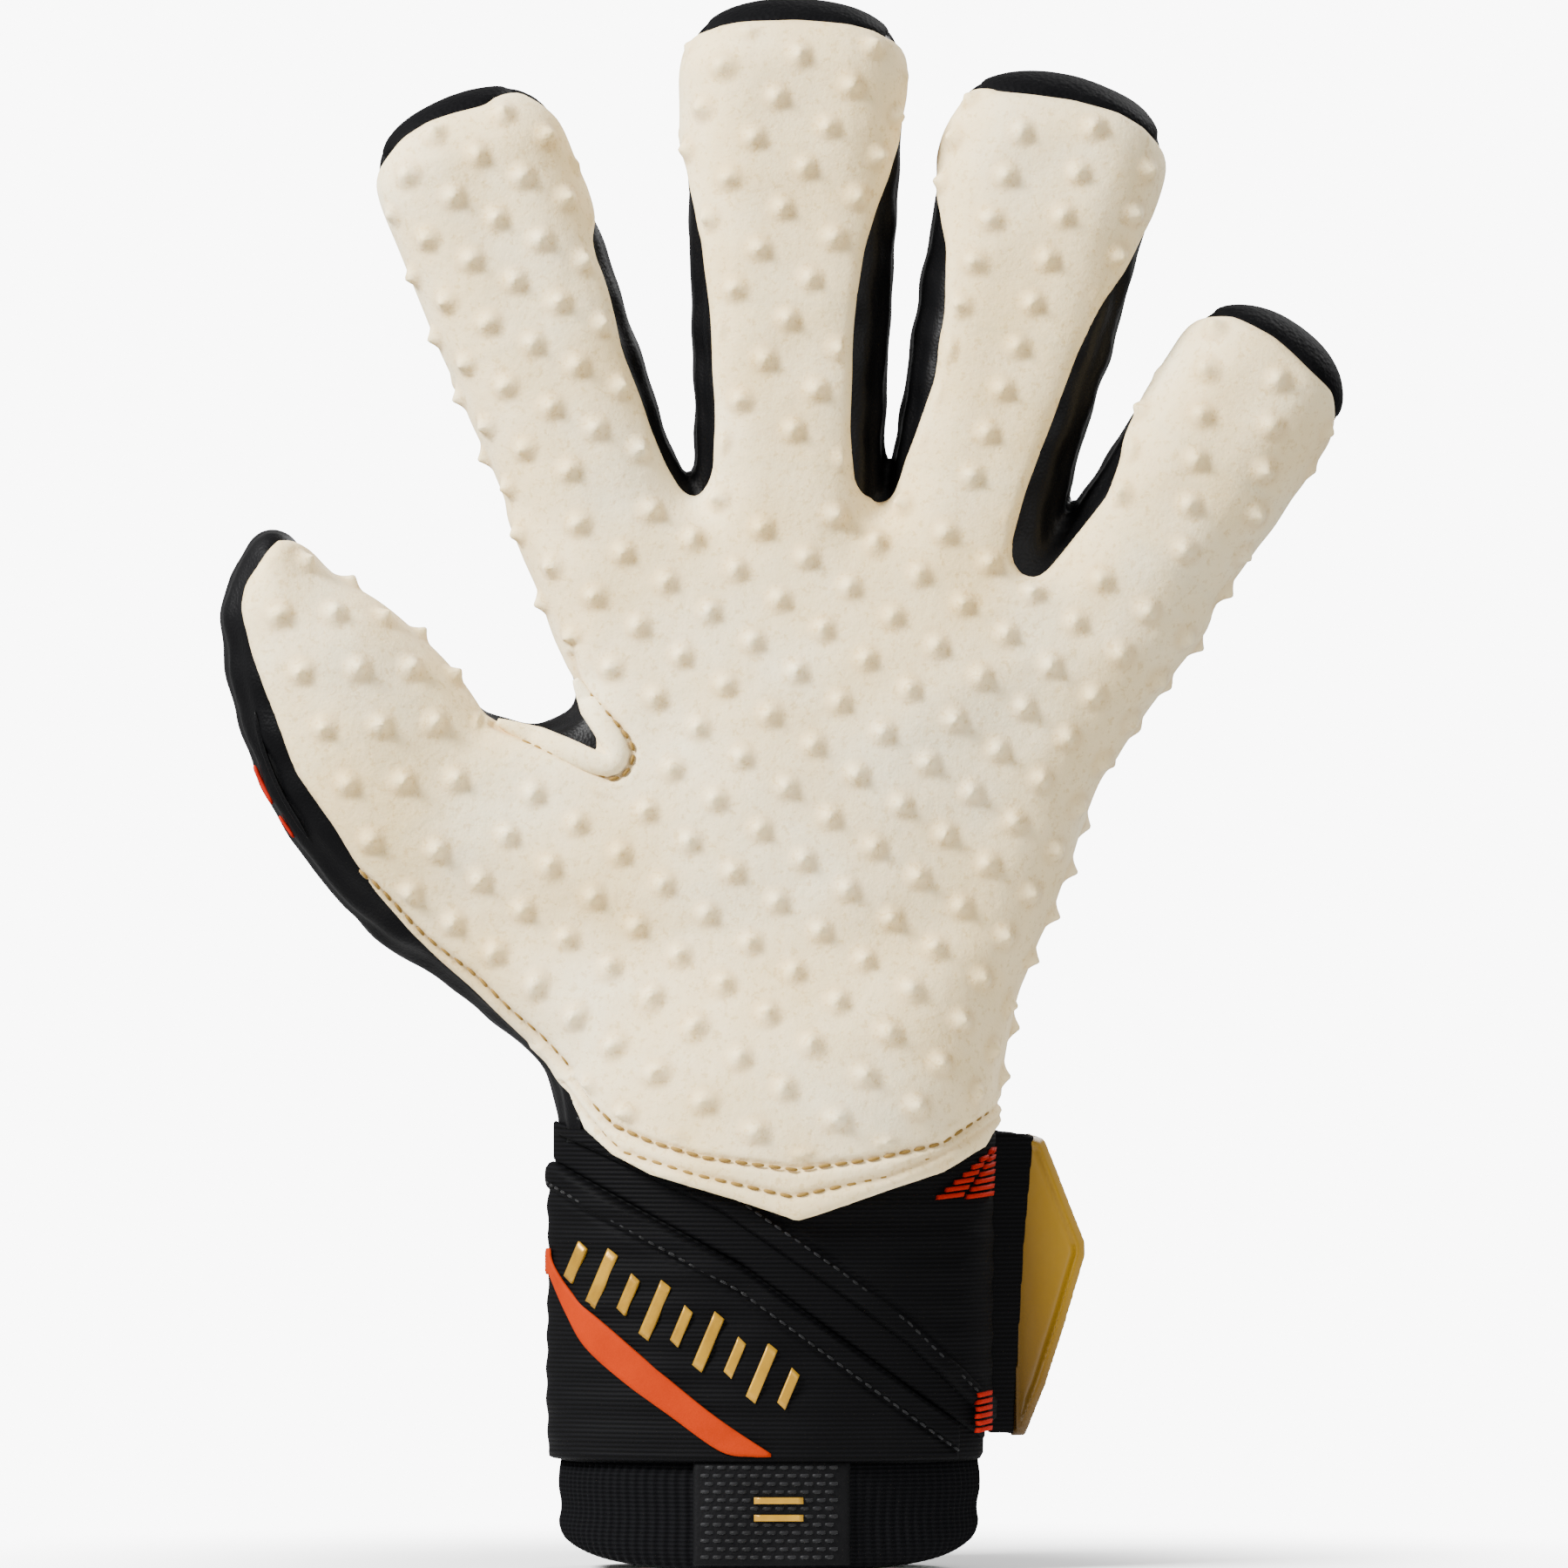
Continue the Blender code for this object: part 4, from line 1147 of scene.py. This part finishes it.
def wrist_sheet(name, first, last, low, high, oval, thick, mat, body, across=90, along=26, relief=None,
                edge=1.1):
    """A closed sheet on an oval round the wrist between two angles, with rounded edges.

    low and high give the heights of its edges at an x. relief adds to its thickness.
    """
    rx, ry = oval
    angles = np.radians(np.linspace(first, last, across))
    levels = np.concatenate([[0.0, 0.006], np.linspace(0.02, 0.98, along), [0.994, 1.0]])
    c, s = np.cos(angles), np.sin(angles)
    x0, y0 = WRIST_X + rx * c, ry * s
    size = np.hypot(c / rx, s / ry)
    nx, ny = c / rx / size, s / ry / size
    z0 = np.array([low(x) for x in x0])
    z1 = np.array([high(x) for x in x0])
    run = np.concatenate([[0], np.cumsum(np.hypot(np.diff(x0), np.diff(y0)))])
    outer, inner = [], []
    for t in levels:
        z = z0 + (z1 - z0) * t
        gap = np.minimum(t, 1 - t) * np.maximum(z1 - z0, 0.01)
        gap = np.minimum(gap, np.minimum(run, run[-1] - run))
        h = thick * np.sqrt(1 - (1 - np.clip(gap / edge, 0, 1)) ** 2)
        h = np.maximum(h, SKIN)
        if relief is not None:
            h = np.maximum(h + relief(x0, y0, z, z0, z1) * np.clip(gap / edge, 0, 1), SKIN)
        outer.append(np.stack([x0 + nx * h, y0 + ny * h, z], 1))
        inner.append(np.stack([x0 - nx * SKIN, y0 - ny * SKIN, z], 1))
    rows = np.array(outer + inner[::-1])
    n_rows = len(rows)
    vertices = rows.reshape(-1, 3)
    r, a = np.meshgrid(np.arange(n_rows), np.arange(across - 1), indexing="ij")
    i = (r * across + a).ravel()
    j = (((r + 1) % n_rows) * across + a).ravel()
    faces = np.concatenate([np.stack([i, i + 1, j + 1], 1), np.stack([i, j + 1, j], 1)])
    caps = []
    for end in (0, across - 1):
        half = n_rows // 2
        for k in range(half - 1):
            a0, a1 = k * across + end, (k + 1) * across + end
            b0, b1 = (n_rows - 1 - k) * across + end, (n_rows - 2 - k) * across + end
            quad = (a0, a1, b1, b0) if end == 0 else (a0, b0, b1, a1)
            caps += [(quad[0], quad[1], quad[2]), (quad[0], quad[2], quad[3])]
    faces = np.concatenate([faces, np.array(caps)])
    obj = make_object(name, vertices, faces, mat)
    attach(obj, body)
    return obj


def wrist_tube(name, levels, mat, sides=360, relief=None):
    """A closed tube round the wrist. levels lists (z, rx, ry) up the outside and down the inside."""
    angles = np.linspace(0, 2 * math.pi, sides, endpoint=False)
    rows = []
    for k, (z, rx, ry) in enumerate(levels):
        c, s = np.cos(angles), np.sin(angles)
        x, y = rx * c, ry * s
        zz = np.full(sides, z, float)
        if relief is not None:
            r, dz = relief(k, angles, x, y, zz)
            size = np.hypot(x / rx ** 2, y / ry ** 2)
            x, y, zz = x + r * x / rx ** 2 / size, y + r * y / ry ** 2 / size, zz + dz
        rows.append(np.stack([x + WRIST_X, y, zz], 1))
    n = len(rows)
    vertices = np.concatenate(rows)
    r, a = np.meshgrid(np.arange(n), np.arange(sides), indexing="ij")
    i, i1 = (r * sides + a).ravel(), (r * sides + (a + 1) % sides).ravel()
    j, j1 = (((r + 1) % n) * sides + a).ravel(), (((r + 1) % n) * sides + (a + 1) % sides).ravel()
    faces = np.concatenate([np.stack([i, i1, j1], 1), np.stack([i, j1, j], 1)])
    obj = make_object(name, vertices, faces, mat)
    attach(obj, "hand")
    return obj


def line(points):
    """A broken line as a function that gives its height at an x."""
    xs, zs = [p[0] for p in points], [p[1] for p in points]
    return lambda x: float(np.interp(x, xs, zs))


def level_line(z):
    return lambda x: z


CUFF_RIBS = 110
CUFF_WIDTH = 38.6
CUFF_OUT = [(0.0, 36.6, 20.1), (0.5, 37.6, 21.0), (1.6, 38.3, 21.7), (3.4, 38.7, 22.0)]
CUFF_OUT += [(z, CUFF_WIDTH + 0.25 * math.sin(z * 0.5), 22.0) for z in np.linspace(5.0, 18.0, 9)]
CUFF_OUT += [(21.0, 38.2, 21.4)]
CUFF_LEVELS = CUFF_OUT + [(21.0, 35.6, 18.6), (10.0, 35.6, 18.8), (1.0, 35.4, 18.8)]


def cuff_relief(k, angles, x, y, z):
    """Knitted ribs, and a lower edge that bows up towards the sides."""
    ribs = 0.2 * np.sin(angles * CUFF_RIBS) * (0.4 if k in (0, len(CUFF_LEVELS) - 1) else 1.0)
    wide = np.abs(x) / CUFF_WIDTH
    bow = (2.6 * wide ** 2 + 3.4 * wide ** 7) * np.clip(1 - z / 15.0, 0, 1)
    soft = 0.35 * waves(x, y, z, 24.0, 51)
    return ribs + soft, bow


cuff = wrist_tube("cuff_knit", CUFF_LEVELS, KNIT, 880, cuff_relief)
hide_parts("cuff")

SLEEVE_LEVELS = [(20.6, 37.0, 19.4), (50.0, 36.9, 19.3), (83.0, 36.9, 19.3), (83.0, 35.6, 18.0),
                 (50.0, 35.6, 18.0), (20.6, 35.6, 18.0)]
sleeve = wrist_tube("inner_sleeve", SLEEVE_LEVELS, ELASTIC, 120)
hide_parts("wrist_sleeve")


def band_relief(k, angles, x, y, z):
    """The slack of the stretched band."""
    return 0.3 * waves(x, y, z, 20.0, 61), z * 0


wrap_levels = [(19.9, 38.2, 20.6), (20.4, 39.2, 21.8), (21.4, 39.7, 22.3)]
wrap_levels += [(z, 39.7, 22.3) for z in np.linspace(24, 77, 24)]
wrap_levels += [(79.4, 39.5, 22.0), (80.4, 38.6, 21.0), (80.4, 37.6, 20.0), (50.0, 37.6, 20.0),
                (20.2, 37.6, 20.0)]
wrap = wrist_tube("wrap_band", wrap_levels, ELASTIC, 300, band_relief)
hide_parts("wrist_wrap")


def layer_relief(edge_line, side):
    """The hem's fold along a layer's cut edge, and the slack of a stretched bandage."""
    def relief(x, y, z, z0, z1):
        away = (z - np.array([edge_line(q) for q in x])) * side
        fold = 0.55 * smooth((5.2 - away) / 0.7) - 0.35 * np.exp(-((away - 5.4) / 0.7) ** 2)
        return fold + 0.3 * waves(x, y, z, 17.0, 71) + 0.16 * np.sin(z * 1.05 + 0.5 * waves(x, y, z, 30.0, 9))
    return relief


lower_top = line([(-44.5, 76.4), (-19.8, 62.8), (-8.1, 56.6), (16.0, 38.8), (38.3, 22.4), (42.0, 21.6)])
lower = wrist_sheet("wrap_lower", 183, 330, level_line(20.4), lambda x: max(lower_top(x), 21.4), (40.0, 22.7),
                    1.2, ELASTIC, "hand", 170, 90, layer_relief(lower_top, -1))
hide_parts("wrap_lower_layer")
upper_low = line([(-44.5, 82.0), (-12.0, 66.6), (-5.0, 61.8), (9.6, 51.6), (22.8, 41.6), (38.3, 26.0),
                  (42.0, 23.0)])
upper = wrist_sheet("wrap_upper", 196, 360, upper_low, level_line(81.6), (40.2, 22.9), 1.4, ELASTIC, "hand", 190,
                    90, layer_relief(upper_low, 1))
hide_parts("wrap_upper_layer")
strip = wrist_sheet("wrap_strip", 188, 352, lambda x: max(lower_top(x) + 0.5, 21.4),
                    lambda x: upper_low(x) + 2.0, (39.9, 22.6), 0.7, ELASTIC, "hand", 170, 30)


def wrist_path(edge_line, offset, angles, oval):
    """A path round the wrist at a distance above or below an edge."""
    out = []
    for a in np.radians(angles):
        x, y, _ = wrist_point(a, oval, 0)
        out.append((x, y, edge_line(x) + offset))
    return out


def wrist_out(p):
    """The direction away from the wrist at a point."""
    n = np.array([(p[0] - WRIST_X) / 41.0 ** 2, p[1] / 24.0 ** 2, 0.0])
    return n / np.linalg.norm(n)


for label, edge_line, offset, angles, oval in (("upper", upper_low, 4.6, range(212, 345, 3), (42.2, 24.9)),
                                               ("lower", lower_top, -4.6, range(188, 330, 3), (41.8, 24.5))):
    stitches(f"wrap_stitches_{label}", wrist_path(edge_line, offset, angles, oval), 2.2, 1.5, 0.22, DARK_THREAD,
             "hand", wrist_out)

# The tapered orange stripe and the slanted gold bars are plain shapes in the places of printed marks.
PRINT_FACE = (41.3, 24.0)  # the oval that the wrap's prints lie on
PRINT_LIFT = 0.45


def on_wrist(x, z, lift, oval):
    """A point on the front of the wrist, at an x and z."""
    rx, ry = oval
    c = np.clip((x - WRIST_X) / rx, -0.999, 0.999)
    return WRIST_X + (rx + lift) * c, -(ry + lift) * np.sqrt(1 - c * c), z


def decal(name, corners, mat, oval=PRINT_FACE, cuts=8):
    """A thin four-sided print on the front of the wrist, with its corners given as x and z."""
    (ax, az), (bx, bz), (cx, cz), (dx, dz) = corners
    u, v = np.meshgrid(np.linspace(0, 1, cuts), np.linspace(0, 1, cuts), indexing="ij")
    x = (ax * (1 - u) + bx * u) * (1 - v) + (dx * (1 - u) + cx * u) * v
    z = (az * (1 - u) + bz * u) * (1 - v) + (dz * (1 - u) + cz * u) * v
    rim = np.minimum(np.minimum(u, 1 - u), np.minimum(v, 1 - v)) > 0
    lift = np.where(rim, PRINT_LIFT, PRINT_LIFT * 0.72)
    top = np.stack(on_wrist(x, z, lift, oval), -1).reshape(-1, 3)
    under = np.stack(on_wrist(x, z, -0.5, oval), -1).reshape(-1, 3)
    n = cuts * cuts
    i = (np.arange(cuts - 1)[:, None] * cuts + np.arange(cuts - 1)[None, :]).ravel()
    faces = np.concatenate([np.stack([i, i + cuts, i + cuts + 1], 1), np.stack([i, i + cuts + 1, i + 1], 1)])
    edge = rim_of(faces)
    sides = np.concatenate([np.stack([edge[:, 1], edge[:, 0], edge[:, 0] + n], 1),
                            np.stack([edge[:, 1], edge[:, 0] + n, edge[:, 1] + n], 1)])
    faces = np.concatenate([faces, faces[:, ::-1] + n, sides])
    obj = make_object(name, np.concatenate([top, under]), faces, mat)
    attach(obj, "hand")


stripe_top = line(curve_through([(-43.2, 59.3), (-42.4, 56.0), (-38.0, 50.0), (-31.5, 44.4), (-21.9, 36.3),
                                 (-12.2, 28.6), (-2.1, 21.9)]))
stripe_low = line(curve_through([(-43.2, 54.4), (-42.4, 52.4), (-40.0, 47.2), (-36.4, 41.1), (-29.1, 34.7),
                                 (-21.1, 29.0), (-11.8, 22.5), (-6.0, 21.5), (-2.1, 21.5)]))
stripe = wrist_sheet("orange_stripe", 186, 270.5, stripe_low, stripe_top, PRINT_FACE, 0.5, ORANGE, "hand", 120,
                     8, edge=0.3)

# Nine slanted gold bars, long and short in turn, on a line that falls towards the little-finger side.
for k in range(9):
    x, z = -38.4 + 4.9 * k, 57.6 - 2.86 * k
    tall, wide = (4.9, 0.85) if k % 2 else (3.2, 0.7)
    lean = 0.42 * tall
    decal(f"gold_bar_{k + 1}", [(x - wide - lean, z - tall), (x + wide - lean, z - tall - 1.4),
                                (x + wide + lean, z + tall - 1.4), (x - wide + lean, z + tall)], GOLD)

# Short red-orange bars: a wedge of pairs near the wrap's top corner, and a small stack near its foot.
MARK_EDGE = 38.9
for k in range(7):
    z = 68.6 + 1.35 * k
    left = 28.2 + 1.62 * k
    for part in range(2):
        x0 = left + part * (MARK_EDGE - left) * 0.52
        x1 = x0 + (MARK_EDGE - left) * 0.44
        decal(f"red_mark_{k + 1}_{part + 1}", [(x0, z), (x1, z + 0.5), (x1 + 0.2, z + 1.3), (x0 + 0.2, z + 0.8)],
              RED, (42.0, 24.6), 5)
for k in range(6):
    z = 25.4 + 1.3 * k
    decal(f"red_mark_low_{k + 1}",
          [(35.6 + 0.3 * (k % 2), z), (38.2, z + 0.4), (38.3, z + 1.2), (35.8, z + 0.8)], RED, (42.4, 25.0), 5)

# Woven patch with dashed ribs on the cuff, and two short gold bars.
patch = wrist_sheet("cuff_patch_woven", 249, 292.5, level_line(1.4), level_line(20.6), (39.0, 22.3), 0.75, PATCH,
                    "hand", 60, 30)
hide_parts("cuff_patch")
for k, level in enumerate(np.arange(3.0, 19.8, 1.5)):
    path = [wrist_point(math.radians(a + 1.2 * (k % 2)), (39.75, 23.0), level) for a in range(251, 291, 2)]
    stitches(f"patch_rib_{k + 1}", path, 2.3, 1.9, 0.36, DARK_THREAD, "hand", wrist_out)
for k, level in enumerate((9.6, 12.8)):
    decal(f"patch_bar_{k + 1}", [(-5.5, level), (3.5, level), (3.5, level + 1.2), (-5.5, level + 1.2)], GOLD,
          (39.9, 23.25))

# ---------------------------------------------------------------- strap and tab

pad = wrist_sheet("loop_field", 24, 142, level_line(28.0), level_line(76.0), (40.2, 22.8), 1.0, LOOP, "hand",
                  120, 40)
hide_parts("loop_pad")
hook = wrist_sheet("hook_field", 24, 90, level_line(32.0), level_line(72.0), (41.6, 24.2), 0.9, LOOP, "strap",
                   80, 30)
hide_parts("hook_pad")


STRAP_FACE = (44.6, 27.1)  # the oval of the strap's outer face


def strap_relief(x, y, z, z0, z1):
    """The bound edges of the strap, pressed in where they are sewn."""
    away = np.minimum(z - z0, z1 - z)
    return -0.35 * np.exp(-((away - 3.0) / 0.6) ** 2) + 0.15 * waves(x, y, z, 18.0, 91)


def strap_flare(x):
    """How much the strap widens towards its tab."""
    return max(x - 30, 0) * 0.1


strap = wrist_sheet("strap_band", 9, 148, lambda x: 26.0 - strap_flare(x), lambda x: 78.0 + strap_flare(x),
                    (42.8, 25.3), 1.9, ELASTIC, "strap", 200, 60, strap_relief)
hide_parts("closure_strap")

for level, label in ((29.0, "lower"), (75.0, "upper")):
    stitches(f"strap_stitches_{label}", wrist_path(level_line(level), 0.0, range(14, 146, 3), STRAP_FACE),
             2.4, 1.7, 0.24, DARK_THREAD, "strap", wrist_out)
accent = wrist_sheet("strap_accent", 60, 120, level_line(50.0), level_line(54.0), STRAP_FACE, 0.5, ORANGE,
                     "strap", 60, 6, edge=0.3)

TAB_OUTLINE = [(41.9, 24.2), (44.8, 24.2), (48.6, 33.4), (52.4, 45.2), (56.1, 57.6), (56.0, 60.0), (53.6, 66.0),
               (50.8, 73.2), (48.4, 79.2), (45.6, 80.3), (42.2, 79.8), (41.6, 70.0), (41.4, 50.0),
               (41.6, 34.0)]
TONGUE_OUTLINE = [(37.8, 24.8), (42.6, 24.6), (44.6, 60.0), (46.4, 80.0), (38.0, 81.2)]
TAB_SLANT = 0.55  # how fast the tab swings back as it leaves the wrist


def moulded(name, outline, mat, half, rim_height, at_y, step=0.42):
    """A flat moulding in the pull tab's plane: rounded edges and, if asked for, a raised rim.

    half is half its thickness.
    """
    xs, zs = np.array(outline).T
    gx = np.arange(min(xs) - 1.2, max(xs) + 1.3, step)
    gz = np.arange(min(zs) - 1.2, max(zs) + 1.3, step)
    x, z = np.meshgrid(gx, gz, indexing="ij")
    inside = signed_inside(outline, x, z)
    ys = np.arange(-4.0, 4.6, step)
    top = half + rim_height * np.exp(-((inside - 1.5) / 0.8) ** 2) * (x > 44.0 + (80.0 - z) * -0.02)
    top = top + rim_height * 0.12 * waves(x, 0, z, 13.0, 5)
    top = top - half * (1 - np.sqrt(np.clip(1 - (1 - np.clip(inside / half, 0, 1)) ** 2, 0, 1)))
    field = np.maximum(np.abs(ys[None, :, None]) - top[:, None, :], -inside[:, None, :])
    points, quads = surface_net(field, np.array([gx[0], ys[0], gz[0]]), step)
    points = relax(points, quads, 2)
    points[:, 1] += at_y + (points[:, 0] - 41.6) * TAB_SLANT
    obj = make_object(name, points, np.concatenate([quads[:, [0, 1, 2]], quads[:, [0, 2, 3]]]), mat)
    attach(obj, "strap")
    return obj


tab = moulded("pull_tab_moulded", TAB_OUTLINE, TAB, 1.4, 1.0, 7.0)
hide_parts("pull_tab")
tongue = moulded("strap_tongue", TONGUE_OUTLINE, ELASTIC, 1.0, 0.0, 5.4)

# The welt that edges the thumb crotch: a rounded strip that follows the V.
WELT = curve_through([(-53.0, 156.8), (-46.4, 154.0), (-40.0, 151.4), (-35.0, 149.2), (-32.0, 148.8),
                      (-30.8, 150.4), (-31.4, 152.8), (-33.8, 156.6), (-36.0, 160.0), (-38.6, 164.6)], 6)
welt_path = [(x, min(float(front_y(x, z)[0]), -8.2) - 0.6, z) for x, z in WELT]
welt = strip_along("thumb_welt_strip", welt_path, (2.25, 1.7), LATEX, "hand")
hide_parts("thumb_welt")

# ---------------------------------------------------------------- room, light and camera


def disc(name, radius, mat, sides=96):
    """A flat round floor under the glove."""
    mesh = bpy.data.meshes.new(name)
    ring = [(radius * math.cos(2 * math.pi * k / sides), radius * math.sin(2 * math.pi * k / sides), 0.0)
            for k in range(sides)]
    mesh.from_pydata(ring, [], [tuple(range(sides))])
    mesh.materials.append(mat)
    obj = bpy.data.objects.new(name, mesh)
    bpy.context.scene.collection.objects.link(obj)
    return obj


def floor_material():
    """White paper that fades out towards its edge, so that no horizon shows."""
    mat, shader = material("studio_paper", 0.9)
    shader.inputs["Base Color"].default_value = rgb("FCFCFC")
    at = node(mat, "ShaderNodeTexCoord")
    size = node(mat, "ShaderNodeVectorMath", {"operation": "LENGTH"}, i0=(at, "Object"))
    fade = node(mat, "ShaderNodeMapRange", {"interpolation_type": "SMOOTHSTEP"}, i0=(size, "Value"))
    for socket, value in (("From Min", 0.05), ("From Max", 0.2), ("To Min", 1.0), ("To Max", 0.0)):
        fade.inputs[socket].default_value = value
    plug(mat, fade, "Result", shader.inputs["Alpha"])
    return mat


floor = disc("studio_floor", 0.45, floor_material())

# A white room: soft and weak as light, bright as a backdrop.
ROOM_LIGHT, BACKDROP = 0.6, 9.0
world = bpy.data.worlds.new("studio")
world.use_nodes = True
nodes, links = world.node_tree.nodes, world.node_tree.links
room, seen = nodes["Background"], nodes.new("ShaderNodeBackground")
chosen, ray = nodes.new("ShaderNodeMixShader"), nodes.new("ShaderNodeLightPath")
for background, strength in ((room, ROOM_LIGHT), (seen, BACKDROP)):
    background.inputs["Color"].default_value = rgb("FFFFFF")
    background.inputs["Strength"].default_value = strength
links.new(ray.outputs["Is Camera Ray"], chosen.inputs[0])
links.new(room.outputs[0], chosen.inputs[1])
links.new(seen.outputs[0], chosen.inputs[2])
links.new(chosen.outputs[0], nodes["World Output"].inputs["Surface"])
bpy.context.scene.world = world


AIM = (0, 0, 0.15)  # the middle of the glove


def lamp(name, at, size, power):
    """A square soft box that points at the glove."""
    data = bpy.data.lights.new(name, "AREA")
    data.size = size
    data.energy = power
    obj = bpy.data.objects.new(name, data)
    obj.location = at
    dx, dy, dz = [a - b for a, b in zip(AIM, at)]
    obj.rotation_euler = (math.atan2(math.hypot(dx, dy), -dz), 0, math.atan2(dy, dx) - math.pi / 2)
    bpy.context.scene.collection.objects.link(obj)


lamp("key", (-1.05, -0.62, 1.0), 0.45, 86.0)
lamp("fill", (1.1, -1.5, 0.5), 1.0, 17.0)
lamp("rear", (0.9, 1.2, 1.2), 0.5, 24.0)

# Straight at the palm, from far enough to keep the outline flat.
DISTANCE, VIEW_HEIGHT, EYE_HEIGHT = 3.0, 0.2906, 0.1452
SENSOR = 36.0
camera_data = bpy.data.cameras.new("camera")
camera_data.sensor_width = SENSOR
camera_data.lens = SENSOR * DISTANCE / VIEW_HEIGHT
camera = bpy.data.objects.new("camera", camera_data)
camera.location = (0.0, -DISTANCE, EYE_HEIGHT)
camera.rotation_euler = (math.pi / 2, 0, 0)
bpy.context.scene.collection.objects.link(camera)
bpy.context.scene.camera = camera

bpy.context.view_layer.update()
